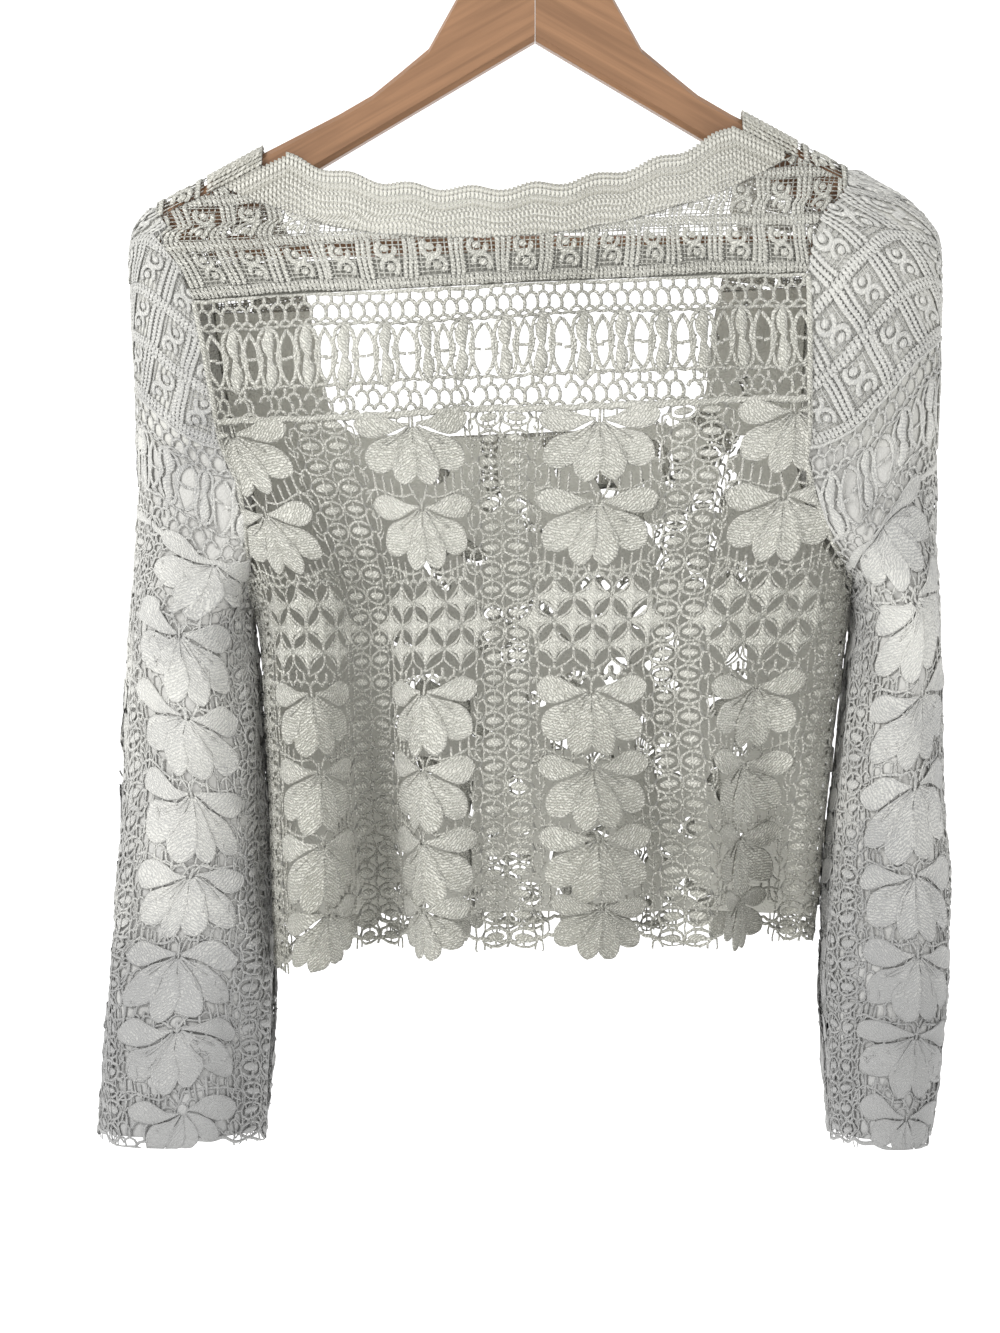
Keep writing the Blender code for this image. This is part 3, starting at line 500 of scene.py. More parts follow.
def flower_ties(pitch):
    """Short threads from a flower's petals down to the next flower's, and arcs out to the oval columns."""
    low = pitch
    drops = threads(0.75, [(5.5, 33), (3.0, low - 5), (0.6, low - 1)], [(10, 31), (10.5, low)],
                    [(16, 29), (16.5, low - 1)], [(21, 27), (21.5, low - 1.5)], [(26, 24), (26.5, low - 2)],
                    [(3.6, low - 6.5), (10.3, low - 5), (16.3, low - 6), (21.3, low - 8), (26.3, low - 10),
                     (33, low - 9)])
    arcs = [line(arc(*points)) for points in (
        ((29, 3), (32, 5), (34, 2)), ((29.5, 3), (30, 10), (34, 13)), ((29, 12), (32, 15.5), (34, 13)),
        ((28.5, 22), (31, 24), (34, 25)), ((30.5, 31), (30.5, 27), (34, 25)), ((26.5, 31), (29, 36), (34, 37)),
        ((30, low - 8), (33, low - 5), (34, low - 3)))]
    half = join(*drops, *arcs)
    return join(half, mirrored(half))


print("flower", len(flower()[1]), "faces")


# %% [markdown]
# ## Columns of ovals
# Between the flower columns two rows of small corded ovals run down the cloth, each a stuffed centre in a ring of
# cord, tied to the next by pairs of threads, with a wavy thread down the middle.

# %% Oval column
OVAL_PITCH = 11.6


def oval(half_wide, half_tall, high, lift=0.0, turn=0.0):
    """A domed knot: half width by the ellipse rule along its length."""
    t = np.array([-0.97, -0.75, -0.3, 0.3, 0.75, 0.97])
    path = np.stack([t * half_wide * math.cos(turn), t * half_wide * math.sin(turn)], axis=-1)
    width = half_tall * np.sqrt(1 - t ** 2)
    return sweep(path, width, high * (0.35 + 0.65 * (1 - t ** 2)), KNOT, lift=lift)


def oval_row():
    """Two ovals in their uneven rings, with the threads to the next row: one pitch of the column."""
    rim = 0.85 + 0.2 * np.cos(np.arange(10) * 2.4)
    parts = [moved(oval(5.0, 2.3, 1.5, turn=0.06), 7.4),
             sweep(loop(7.5, 0, 7.4, 4.9, 10), rim, rim, THREAD, closed=True, lift=0.2),
             line([(7.2, -4.4), (7.5, 4.5)], 0.6, lift=1.0),
             line([(5.2, 4.2), (5.4, OVAL_PITCH - 4.2)], 0.6), line([(9.6, 4.0), (9.4, OVAL_PITCH - 4.0)], 0.6),
             line(arc((14.6, 0), (12.9, OVAL_PITCH / 2), (14.6, OVAL_PITCH), 4), 0.55),
             line([(14.4, 0), (18.0, 1.2)], 0.6), line([(18.0, 1.2), (18.6, OVAL_PITCH / 2), (18.0, OVAL_PITCH)], 0.55)]
    half = join(*parts)
    middle = line([(0.8, 0), (-0.8, OVAL_PITCH / 2), (0.8, OVAL_PITCH)], 0.6)
    return join(half, mirrored(half), middle)


print("row of ovals", len(oval_row()[1]), "faces")


# %% [markdown]
# ## Openwork, stars and scrolls
# Under the yoke a band of openwork has upright pairs of stuffed ovals with tall eye-shaped gaps between them, and a
# honeycomb net above and below. A band of four-pointed stars breaks the flowers. The yoke has small scrolls with
# two dots each between corded ribs, on a fine ladder ground.

# %% Openwork
MEDALLION = 20.7


def medallion():
    """One upright pair of ovals with half of the gap on each side; the pattern's pitch is the medallion's."""
    half = MEDALLION / 2
    down = np.array([17, 20, 24.5, 29, 33, 35, 39.5, 44, 48, 51])
    wide = np.array([0.7, 2.4, 3.5, 2.9, 1.7, 1.7, 3.1, 3.6, 2.4, 0.7])
    dense = sweep(np.stack([0.5 * np.sin(down), down], axis=-1), wide, 0.8 + 0.3 * wide, KNOT)
    outline = line([(0.6, 16.5), (4.4, 20.5), (5.7, 26), (4.3, 33.6), (5.8, 41), (4.5, 47.5), (0.6, 51.5)], 1.05, CORD)
    gap = line([(half, 19.5), (half - 2.9, 24), (half - 4.4, 29), (half - 4.2, 34), (half - 4.4, 39.5),
                (half - 2.9, 44.5), (half, 49)], 1.05, CORD)
    ties = threads(0.62, [(2.5, 23), (5.2, 22.5)], [(3, 31), (5, 31)], [(3, 37.5), (5, 37.5)], [(2.8, 46), (5, 46)])
    ties.append(line([(half - 4.2, 34), (half + 0.2, 34.5)], 0.85, CORD))
    side = join(outline, gap, *ties)
    return join(dense, side, mirrored(side))


def honeycomb(rows, top, pitch=6.9, tall=8.5, radius=0.95):
    """Rows of net cells: an upright thread and an upturned V in each, every second row set off by half a cell."""
    parts = []
    for k in range(rows):
        shift = (k % 2) * pitch / 2
        y = top + k * tall
        parts.append(moved(line([(0, 0), (0.3, tall * 0.3), (0, tall * 0.6)], radius), shift, y))
        parts.append(moved(line([(-pitch / 2, tall), (-pitch * 0.3, tall * 0.72), (0, tall * 0.6),
                                 (pitch * 0.3, tall * 0.72), (pitch / 2, tall)], radius), shift, y))
    return join(*parts)


def star():
    """A four-pointed star: a long knot and an upright one crossing, in a ring of four almond gaps."""
    arm = np.array([-1, -0.62, -0.25, 0.25, 0.62, 1])
    width = np.array([0.5, 1.5, 3.7, 3.7, 1.5, 0.5])
    level = sweep(np.stack([arm * 10.6, 0 * arm], axis=-1), width, 1.1, KNOT)
    upright = sweep(np.stack([0 * arm, arm * 9.0], axis=-1), width, 1.2, KNOT, lift=0.1)
    ring = [line(arc((10.6, 0), (4.4, 3.6), (0, 9.0), 5), 0.75), line([(0, 8.8), (0.4, 13)], 0.75),
            line([(10.5, 0), (10.9, 4.5)], 0.75), line(arc((10.7, 4), (8.6, 8.4), (0.6, 12.6), 4), 0.6)]
    quarter = join(*ring)
    half = join(quarter, (quarter[0] * np.array([1, -1, 1]), quarter[1][:, ::-1], quarter[2]))
    return join(level, upright, half, mirrored(half))


print("pair of ovals", len(medallion()[1]), "faces, star", len(star()[1]))


# %% Scrolls
SCROLL, SCROLL_ROW = 22.9, 21.0


def knit_column(tall, pitch=2.6, half=1.15, section=CORD):
    """One column of knit: a cord whose width swells at every stitch, and which steps from side to side."""
    count = max(int(tall / pitch * 2), 2)
    y = np.linspace(0, tall, count + 1)
    turn = np.cos(np.arange(count + 1) * math.pi)
    return sweep(np.stack([0.25 * turn, y], axis=-1), half * (1 + 0.24 * turn), 1 + 0.35 * turn, section)


def scroll_tile():
    """An S of two hooks, each curled round a dot, between two corded ribs, on a ladder of fine thread."""
    angle = np.radians(np.linspace(-200, 60, 9))
    hook = np.stack([0.9 + 4.3 * np.cos(angle), 4.6 + 4.3 * np.sin(angle)], axis=-1)
    curl = sweep(hook, np.linspace(1.2, 1.5, 9), 1.3, CORD)
    dot = moved(oval(2.1, 2.1, 1.9), 1.2, 5.0)
    half = join(curl, dot)
    turned = (half[0] * np.array([-1, -1, 1]), half[1], half[2])
    spine = line([(-3.2, 5.5), (-2.2, 1.5), (2.2, -1.5), (3.2, -5.5)], 1.1, CORD)
    ribs = [moved(knit_column(SCROLL_ROW, 2.1, 1.25), x, -SCROLL_ROW / 2, 0.4) for x in (-8.7, 8.7, SCROLL / 2)]
    rungs = [line([(-SCROLL / 2, y), (SCROLL / 2, y)], 0.36, lift=-0.3) for y in np.arange(-9.6, 9.7, 2.4)]
    uprights = [line([(x, -SCROLL_ROW / 2), (x, SCROLL_ROW / 2)], 0.36, lift=-0.3) for x in (-5.8, -3.0, 0, 3.0, 5.8)]
    return join(half, turned, spine, *ribs, *rungs, *uprights)


print("scroll tile", len(scroll_tile()[1]), "faces")


# %% [markdown]
# ## Laying the lace on a wall
# A piece of lace is a list of repeated motifs. A strand that lies wholly past the piece's edge is left out, and
# points that stick out are drawn back to the edge, as cloth is cut there. Where two pieces of one pattern meet, no
# strand is cut: each goes whole to the piece that owns its middle, so that no straight line shows. A slow wave in
# every direction keeps the rows from looking ruled. Then the chart carries each point to the wall, and its height
# goes along the normal.

# %% Laying motifs
def wave(a, b, seed):
    """A slow unevenness of -1..1: four sines of different lengths."""
    return (np.sin(a / 23 + b / 31 + seed) + np.sin(a / 13 - b / 19 + 2.1 * seed)
            + np.sin(a / 4.1 + b / 11 + 3.7 * seed) * 0.7 + np.sin(a / 9.3 - b / 3.7 + 1.3 * seed) * 0.7) / 3


def creases(across, down):
    """Long soft creases of -1..1 that run down a sleeve and wander."""
    return 0.6 * np.sin(across / 7.0 + 1.6 * np.sin(down / 52)) + 0.4 * np.sin(across / 15.0 - down / 38 + 1.0)


SPARE = 0.5  # a strand that lies wholly this far past an edge is left out


def strands_of(quads):
    """Numbers each face's strand. A strand's points follow each other, so it ends where no face reaches past."""
    first, last = quads.min(axis=1), quads.max(axis=1)
    order = np.argsort(first, kind="stable")
    reach = np.maximum.accumulate(last[order])
    strand = np.empty(len(quads), int)
    strand[order] = np.concatenate([[0], np.cumsum(first[order][1:] > reach[:-1])])
    return strand


def whole_strands(quads, inside, down, owns):
    """Keeps the faces of each strand that has a point inside, and whose middle lies between the rows it owns."""
    strand = strands_of(quads)
    middle = np.bincount(strand, weights=down[quads].mean(axis=1)) / np.bincount(strand)
    alive = np.bincount(strand, weights=inside[quads].any(axis=1)) > 0
    alive &= (middle >= owns[0]) & (middle < owns[1])
    return alive[strand]


def handed(chart_place, across, down):
    """1 where the chart's across, down and outward make a right-handed set, else -1."""
    spots = chart_place(across + np.array([0.0, 1.0, 0.0, 0.0]), down + np.array([0.0, 0.0, 1.0, 0.0]),
                        np.array([0.0, 0.0, 0.0, 1.0]))
    right, under, out = spots[1:] - spots[0]
    return 1 if np.dot(np.cross(right, under), out) > 0 else -1


edges_of = {}  # each laid piece's four edges on its chart


def straight(value):
    """An edge that lies at the same place everywhere."""
    return lambda places: np.full_like(places, value)


def lay(name, chart_place, parts, low, high, top, bottom, material, loose=1.1, trims=(), drift=None,
        relief=1.0, owns=(-1e6, 1e6), crumple=0.0):
    """Cuts the motifs to across low..high (functions of down) and down top..bottom (functions of across).

    Trims are cords laid over the edges, so they are not cut. Drift moves the whole pattern on the chart first.
    Owns gives rows where two pieces meet uncut: each strand goes whole to the piece that owns its middle."""
    edges_of[name] = (low, high, top, bottom)
    parts = [p for p in parts if len(p[0])]
    points, quads, uv = join(*parts)
    across, down, up = points.T.copy()
    across = across + loose * wave(across, down, 1.0)
    down = down + loose * wave(down, across, 2.3)
    up = relief * up + 0.45 * loose * wave(across * 2, down * 2, 4.1)
    if drift is not None:
        across, down = drift(across, down)
    up = up + crumple * creases(across, down)
    first_low, first_high = low(down), high(down)
    first_top, first_bottom = top(across), bottom(across)
    out = ((across < first_low - SPARE) | (across > first_high + SPARE)
           | (down < first_top - SPARE) | (down > first_bottom + SPARE))
    keep = whole_strands(quads, ~out, down, owns)
    across = np.clip(across, first_low, first_high)
    down = np.clip(down, top(across), bottom(across))
    quads = quads[keep]
    used, place = np.unique(quads, return_inverse=True)
    quads = place.reshape(quads.shape)
    placed = chart_place(across[used], down[used], up[used])
    uv = uv[used]
    if trims:
        trim_points, trim_quads, trim_uv = join(*trims)
        quads = np.concatenate([quads, trim_quads + len(placed)])
        placed = np.concatenate([placed, chart_place(*trim_points.T)])
        uv = np.concatenate([uv, trim_uv])
    if handed(chart_place, float(across[used].mean()), float(down[used].mean())) > 0:
        quads = quads[:, ::-1]
    return make_mesh(name, placed, quads, uv, material)


def make_mesh(name, points, quads, uv, material):
    """A piece from whole arrays, smooth, with its UV map. A face that names a point twice becomes a triangle."""
    mesh = bpy.data.meshes.new(name)
    mesh.vertices.add(len(points))
    mesh.vertices.foreach_set("co", (points * MM).ravel())
    single = quads != np.roll(quads, -1, axis=1)
    corners, counts = quads[single], single.sum(axis=1)
    mesh.loops.add(len(corners))
    mesh.loops.foreach_set("vertex_index", corners)
    mesh.polygons.add(len(quads))
    mesh.polygons.foreach_set("loop_start", np.concatenate([[0], np.cumsum(counts)[:-1]]))
    mesh.polygons.foreach_set("use_smooth", np.ones(len(quads), bool))
    layer = mesh.uv_layers.new(name="thread")
    layer.data.foreach_set("uv", (uv[corners] * MM).ravel())
    mesh.update()
    mesh.validate()
    piece = bpy.data.objects.new(name, mesh)
    bpy.context.scene.collection.objects.link(piece)
    mesh.materials.append(material)
    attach(piece, "root")
    print(name, int((counts - 2).sum()), "triangles")
    return piece


def surface_area(mesh):
    """The mesh's area in square metres, all its faces added."""
    areas = np.empty(len(mesh.polygons))
    mesh.polygons.foreach_get("area", areas)
    return float(areas.sum())


def open_edge(mesh):
    """Length in metres of the edges that have one face only."""
    points = np.empty(len(mesh.vertices) * 3)
    mesh.vertices.foreach_get("co", points)
    ends = np.empty(len(mesh.edges) * 2, int)
    mesh.edges.foreach_get("vertices", ends)
    used = np.empty(len(mesh.loops), int)
    mesh.loops.foreach_get("edge_index", used)
    single = np.bincount(used, minlength=len(mesh.edges)) == 1
    first, last = points.reshape(-1, 3)[ends.reshape(-1, 2)[single].T]
    return float(np.linalg.norm(first - last, axis=1).sum())


# %% [markdown]
# ## Thread
# Cotton thread is matt and off-white, with a fine twist along every cord. Modelled twists would need too many faces,
# so the twist and the satin stitch are waves along each motif's own UV map, which follow the thread. A shared group
# of nodes makes them, and lets the tone fall towards hem and cuffs, which stands in for the photograph's light.

# %% Nodes and materials
def feed(tree, node, inputs):
    """Gives each named input its value, or a link where it is given another node's output."""
    for key, value in inputs.items():
        if isinstance(value, bpy.types.NodeSocket):
            tree.links.new(value, node.inputs[key])
        else:
            node.inputs[key].default_value = value


def add_node(tree, kind, inputs, **options):
    """A new node of one kind, with its options set and its inputs fed."""
    node = tree.nodes.new("ShaderNode" + kind)
    for key, value in options.items():
        setattr(node, key, value)
    feed(tree, node, inputs)
    return node


def new_group(name, inputs, outputs):
    """A node group with float sockets of these names, and its input and output nodes."""
    group = bpy.data.node_groups.new(name, "ShaderNodeTree")
    for direction, names in (("INPUT", inputs), ("OUTPUT", outputs)):
        for socket in names:
            group.interface.new_socket(socket, in_out=direction, socket_type="NodeSocketFloat")
    return group, group.nodes.new("NodeGroupInput"), group.nodes.new("NodeGroupOutput")


def new_material(name):
    """A new material, its node tree and its Principled shader."""
    material = bpy.data.materials.new(name)
    material.use_nodes = True
    return material, material.node_tree, material.node_tree.nodes["Principled BSDF"]


def thread_group():
    """Node group: a stitch height from waves across the thread and noise in the cloth, and a soft shade from slow noise
    in the cloth plus a painted shade that grows towards hem and cuffs.
    """
    group, start, end = new_group("stitches", ("Stitch",), ("Height", "Shade"))
    uv = add_node(group, "UVMap", {}, uv_map="thread")
    place = add_node(group, "TexCoord", {}).outputs["Object"]
    waves = add_node(group, "TexWave", {"Distortion": 7.0, "Detail": 2.0, "Detail Scale": 2.2,
                                        "Vector": uv.outputs["UV"], "Scale": start.outputs["Stitch"]},
                     wave_type="BANDS", bands_direction="DIAGONAL")
    fuzz = add_node(group, "TexNoise", {"Scale": 950.0, "Detail": 2.0, "Vector": place})
    mix = add_node(group, "Mix", {"Factor": 0.55, "A": waves.outputs["Fac"], "B": fuzz.outputs["Fac"]},
                   data_type="FLOAT")
    slow = add_node(group, "TexNoise", {"Scale": 14.0, "Detail": 3.0, "Vector": place})
    split = add_node(group, "SeparateXYZ", {"Vector": place})
    # Painted shade: the tone falls with height, darkest at the hem and cuffs.
    lower = add_node(group, "MapRange", {"From Min": -0.72, "From Max": -0.46, "To Min": -0.5, "To Max": 0.06,
                                         "Value": split.outputs["Z"]})
    both = add_node(group, "Math", {0: slow.outputs["Fac"], 1: lower.outputs["Result"]})
    feed(group, end, {"Height": mix.outputs["Result"], "Shade": both.outputs["Value"]})
    return group


stitches = thread_group()


def thread_material(name, pale, deep, stitch, strength, contrast=1.5):
    """Off-white thread: its colour between a pale and a deeper tone, with painted shade in the hollows of the stitch
    and towards hem and cuffs.
    """
    material, tree, shader = new_material(name)
    group = add_node(tree, "Group", {}, node_tree=stitches)
    group.inputs["Stitch"].default_value = stitch
    height = group.outputs["Height"]
    # Painted shade: the deeper tone fills the stitch's hollows and the low parts, with a slow random change of tone.
    add = add_node(tree, "Math", {0: height, 1: contrast, 2: group.outputs["Shade"]}, operation="MULTIPLY_ADD")
    spread = add_node(tree, "MapRange", {"From Min": 0.15 + contrast / 2, "From Max": 0.75 + contrast / 2,
                                         "Value": add.outputs["Value"]})
    tone = add_node(tree, "Mix", {"A": (*deep, 1), "B": (*pale, 1), "Factor": spread.outputs["Result"]},
                    data_type="RGBA")
    relief = add_node(tree, "Bump", {"Strength": strength, "Distance": 0.0014, "Height": height})
    feed(tree, shader, {"Base Color": tone.outputs["Result"], "Normal": relief.outputs["Normal"], "Roughness": 0.88,
                        "Sheen Weight": 0.25, "Sheen Roughness": 0.5, "Specular IOR Level": 0.25})
    return material


lace_thread = thread_material("lace_thread", (0.75, 0.742, 0.675), (0.35, 0.345, 0.298), 300.0, 1.0)
# The sleeves and caps use the same cotton with darker, flatter tones, a painted shade.
sleeve_thread_shaded = thread_material("sleeve_thread_shaded", (0.68, 0.675, 0.632), (0.34, 0.34, 0.335), 300.0, 0.6, 0.8)
band_thread = thread_material("band_thread", (0.67, 0.66, 0.595), (0.38, 0.37, 0.32), 160.0, 1.0)
print("threads made:", lace_thread.name, sleeve_thread_shaded.name, band_thread.name)

# %% [markdown]
# ## The back panel
# From the yoke down: a band of net, the upright ovals, net again, a thick rope, then columns of flowers and ovals.
# The flowers stand at odd fifties of the chart and the ovals at hundreds, as the photograph shows.
# The size of each piece's flat cut is then worked out and printed. That size is measured on the chart, and not
# on the hung mesh, because only then does comparing the two show whether hanging has stretched the cloth.

# %% Back and front panels
PITCH = 100.0
JUNCTIONS = ((74.0, 45.0), (119.0, 41.0), (218.0, 41.0), (259.0, 39.0), (298.0, 39.0))
FLOWER, OVALS, STAR, MEDALLION_MOTIF = flower(), oval_row(), star(), medallion()


def across_of(step, low, high, start=0.0):
    """Places start + k * step that lie between low and high."""
    return start + step * np.arange(math.ceil((low - start) / step), math.floor((high - start) / step) + 1)


def rope(down, low, high, half=1.9, wiggle=0.3):
    """A thick cord across, its width swelling at every second step by a cosine."""
    x = np.arange(low, high + 2, 2.6)
    y = down + wiggle * np.sin(x * 1.7)
    swell = half * (1 + 0.14 * np.cos(np.arange(len(x)) * math.pi))
    return sweep(np.stack([x, y], axis=-1), swell, 1.7, CORD, lift=0.3)


def openwork_band(low, high, top):
    """Net, upright ovals, net and the rope below them, from a chart row down."""
    cells = across_of(6.9, low, high)
    ovals = across_of(MEDALLION, low, high)
    tie = line([(-3.5, 0.4), (0, -0.5), (3.5, 0.4)], 0.95)
    return [repeat(honeycomb(2, 0.0), cells, top, 0.15), repeat(MEDALLION_MOTIF, ovals, top, 0.2),
            repeat(tie, cells, top + 17.2, 0.1), repeat(tie, cells, top + 49.5, 0.1),
            repeat(honeycomb(2, 49.5, 6.9, 8.3), cells, top, 0.15),
            rope(top + 67.5, low, high), rope(top + 0.5, low, high, 1.1)]


def flower_field(junctions, columns, ovals, star_rows, bottom):
    """Flowers and ties at the junctions, columns of ovals, and stars between."""
    parts = []
    for down, pitch in junctions:
        parts.append(repeat(FLOWER, columns, down))
        parts.append(repeat(flower_ties(pitch), columns, down, 0.2))
    first = junctions[0][0] - 2
    rows = first + OVAL_PITCH * np.arange(int((bottom - first) / OVAL_PITCH) + 1)
    grid_x, grid_y = np.meshgrid(ovals, rows)
    parts.append(repeat(OVALS, grid_x, grid_y, 0.2))
    for down, steps in star_rows:
        for step in steps:
            parts.append(repeat(STAR, columns + step, down, 0.3))
    if star_rows:
        cell_x = (columns[:, None] + np.arange(-31.0, 31.1, 6.9)).ravel()
        parts.append(repeat(honeycomb(1, 0.0, 6.9, 8.0), cell_x, 152.0, 0.5))
        parts.append(repeat(honeycomb(1, 0.0, 6.9, 8.0), cell_x, 205.5, 0.5))
    return parts


STAR_ROWS = ((169.0, (-21.8, 0, 21.8)), (182.0, (-32.7, -10.9, 10.9, 32.7)), (195.0, (-21.8, 0, 21.8)))


def short_bars(low, high, top, tall=6.5, pitch=6.9):
    """A row of short upright threads."""
    return repeat(line([(0, 0), (0, tall)], 0.5), across_of(pitch, low, high, 3.4), top, 0.2)


def hem_edge(low, high, down):
    """A cord along the lower edge, under the ovals and up behind the petals of the last flowers."""
    x = np.arange(low, high + 2, 2.5)
    y = down - 7.0 - 4.5 * np.cos(2 * math.pi * (x - PITCH / 2) / PITCH) + 1.4 * np.abs(np.sin(math.pi * x / 7.4))
    return sweep(np.stack([x, y], axis=-1), 1.0, 1.1, CORD)


def net_fill(low, high, top, bottom, pitch=6.9):
    """A plain net of the ground thread behind stars and hem."""
    rows = np.arange(top, bottom, 8.0)
    grid_x, grid_y = np.meshgrid(across_of(pitch, low, high), rows)
    shift = (np.arange(len(rows)) % 2)[:, None] * pitch / 2
    return repeat(honeycomb(1, 0.0, pitch, 8.0, 0.6), grid_x + shift, grid_y, 0.3)


def panel_parts(low, high, with_openwork):
    """All motifs of a body panel: flowers, stars, the hem's smaller flowers, bars, edge cord and openwork."""
    columns = across_of(PITCH, low - 30, high + 30, PITCH / 2)
    ovals = across_of(PITCH, low - 16, high + 16)
    parts = flower_field(JUNCTIONS, columns, ovals, STAR_ROWS, HEM_V + 3)
    parts.append(repeat(moved(FLOWER, size=0.84), columns, 333.0))
    parts += [short_bars(low, high, 69.0), hem_edge(low, high, HEM_V)]
    if with_openwork:
        parts += openwork_band(low, high, 0.0)
    return parts


def small_flower():
    """The cuff's flower: shorter petals, so that they end at the edge."""
    half = join(petal(75, 18, 5.5, 0.4), petal(35, 24, 6.2, 0.0), petal(-6, 29, 6.2, 0.8))
    return join(half, mirrored(half))


def panel_side(down):
    """A panel's side: the armhole's line above the underarm, and a quarter of the girth below."""
    return np.where(down < UNDERARM_V, armhole_u(down), QUARTER)


def hem_line(across):
    """The scalloped hem: a cosine over each flower's pitch."""
    return HEM_V + 4.2 - 2.8 * np.cos(2 * math.pi * across / PITCH)


def hem_drop(across):
    """How much lower the hem hangs at the left: 12 mm, by a ramp."""
    return 12.0 * ramp((-across - 135) / 50)


def hem_line_back(across):
    """The hem as it hangs, lower at the left."""
    return hem_line(across) + hem_drop(across)


def hem_sag(across, down):
    """The left side hangs lower: the rows from the waist down are drawn out towards the hem."""
    return across, down + hem_drop(across) * ramp((down - 250) / 105)


def cut_size(low, high, top, bottom, step=0.5):
    """Width, length and area in metres of the flat cut, worked out on the chart before the cloth is hung.

    The chart is laid out in small squares. Those between low and high (functions of down) and between top and
    bottom (functions of across) are the cut: their count gives its area, and their rows and columns its box."""
    across, down = np.arange(-320.0, 320.0, step) + step / 2, np.arange(-160.0, 760.0, step) + step / 2
    inside = ((across > low(down)[:, None]) & (across < high(down)[:, None])
              & (down[:, None] > top(across)) & (down[:, None] < bottom(across)))
    width, length = inside.any(axis=0).sum() * step * MM, inside.any(axis=1).sum() * step * MM
    return float(width), float(length), float(inside.sum() * (step * MM) ** 2)


def declare(piece, edges=None):
    """Prints the size of a piece's flat cut, its layers and how much its hung surface is of the cut. The hung cloth is
    measured only for the print.
    """
    width, length, area = cut_size(*(edges or edges_of[piece.name]))
    layers = 2 if open_edge(piece.data) < 0.5 * (width + length) else 1
    share = surface_area(piece.data) / layers / area
    print(piece.name, "cut", round(width, 4), round(length, 4), "area", round(area, 5), "layers", layers,
          "hung share", round(share, 3))


def piping(side, low, high, half=1.5, front=False):
    """The corded seam down the armhole, laid over the edges of both cloths."""
    v = np.arange(low, high, 2.0)
    u = armhole_u(v)
    turn = np.cos(np.arange(len(v)) * math.pi)
    across = side * u if not front else u
    return sweep(np.stack([across, v], axis=-1), half * (1 + 0.12 * turn), half * (1 + 0.15 * turn), CORD, lift=0.5)


back_panel = lay("lace_back_panel", body.place, panel_parts(-225, 225, True),
                 lambda d: -panel_side(d), panel_side, straight(-0.2), hem_line_back,
                 lace_thread, trims=[piping(1, 0, 172), piping(-1, 0, 172)], drift=hem_sag)
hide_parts("back_panel")
declare(back_panel)

# %% Front panels
CORNER_U, CORNER_V, CORNER_R, FRONT_WIDTH = 80.0, 48.5, 25.0, 30.5
FRONT_INNER = ((-80, 132), (-40, 122), (-11, 114), (15, 109), (48.5, 105))


def band_inner(v):
    """Distance of the front band's inner edge, above its corner, straight between the table's rows."""
    return np.interp(v, [p[0] for p in FRONT_INNER], [p[1] for p in FRONT_INNER])


def neck_edge(v, wider=FRONT_WIDTH):
    """Distance from the centre front of the front band's outer edge, or of its inner edge with nothing added.

    It is straight above the neck's corner, a circle round the corner, and the centre line below it."""
    radius = CORNER_R + wider
    bend = CORNER_U + np.sqrt(np.clip(radius ** 2 - (v - CORNER_V) ** 2, 0, None))
    return np.where(v < CORNER_V, band_inner(v) + wider, np.where(v < CORNER_V + radius, bend, 0.15))


def hem_sag_front(across, down):
    """The back's sag, seen from the front."""
    return across, hem_sag(-across, down)[1]


for side, word in SIDES:
    parts = panel_parts(0, 225, True)
    piece = lay("lace_front_panel_" + word, front_place(side), parts, neck_edge, panel_side,
                straight(-0.2), hem_line if side > 0 else lambda a: hem_line_back(-a),
                lace_thread,
                trims=[piping(side, 0, 172, front=True)],
                drift=hem_sag_front if side < 0 else None)
    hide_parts("front_panel_" + word)
    declare(piece)

# %% [markdown]
# ## Sleeves
# A sleeve has three repeats round it, and its halves meet at the outer line and under the arm. Its rows climb
# towards the outer line at the cap and lie level from the elbow down. Long creases run down it, deeper on the left
# sleeve. They are sines of the chart's place and not a simulation, so that every run gives the same folds.

# %% Sleeves
SLEEVE_PITCH = 2 * HALF_GIRTH / 3
CAP_DOWN, CUFF_DOWN = 340.0, 716.0
SLEEVE_FIRST, SLEEVE_CRUMPLE, SLEEVE_RELIEF = {1: -62.0, -1: -72.5}, {1: 1.3, -1: 2.0}, 0.55
SLEEVE_JUNCTIONS = tuple((409.0 + 41.0 * k, 41.0) for k in range(7))


CAP_RISE, CAP_LEAN = {1: 62.0, -1: 34.0}, {1: 0.5, -1: 0.25}


def cap_rise(side, chart):
    """The rows climb from the armhole to the outer line, most on the cap, and lie level again at the elbow. On the
    back the cap's uprights lean square to its rows, and the lean runs out across the front."""
    def drift(across, down):
        shape = 0.5 * (1 + np.cos(math.pi * np.clip(across / chart.half(down), -1, 1)))
        lean_here = CAP_LEAN[side] * np.clip(1 - across / 145, 0, 1)
        below = ramp((down - 400) / 60)
        crumple = SLEEVE_CRUMPLE[side] * below
        across = across + crumple * (2.2 * np.sin(down / 31) + 0.6 * np.sin(down / 13 + across / 11))
        down = down + crumple * (1.5 * np.sin(across / 13 + down / 60) + 0.6 * np.sin(across / 6.0))
        return (across + lean_here * np.minimum(down - CAP_DOWN, 0),
                down - CAP_RISE[side] * shape * (1 - ramp((down - 380) / 220)))
    return drift


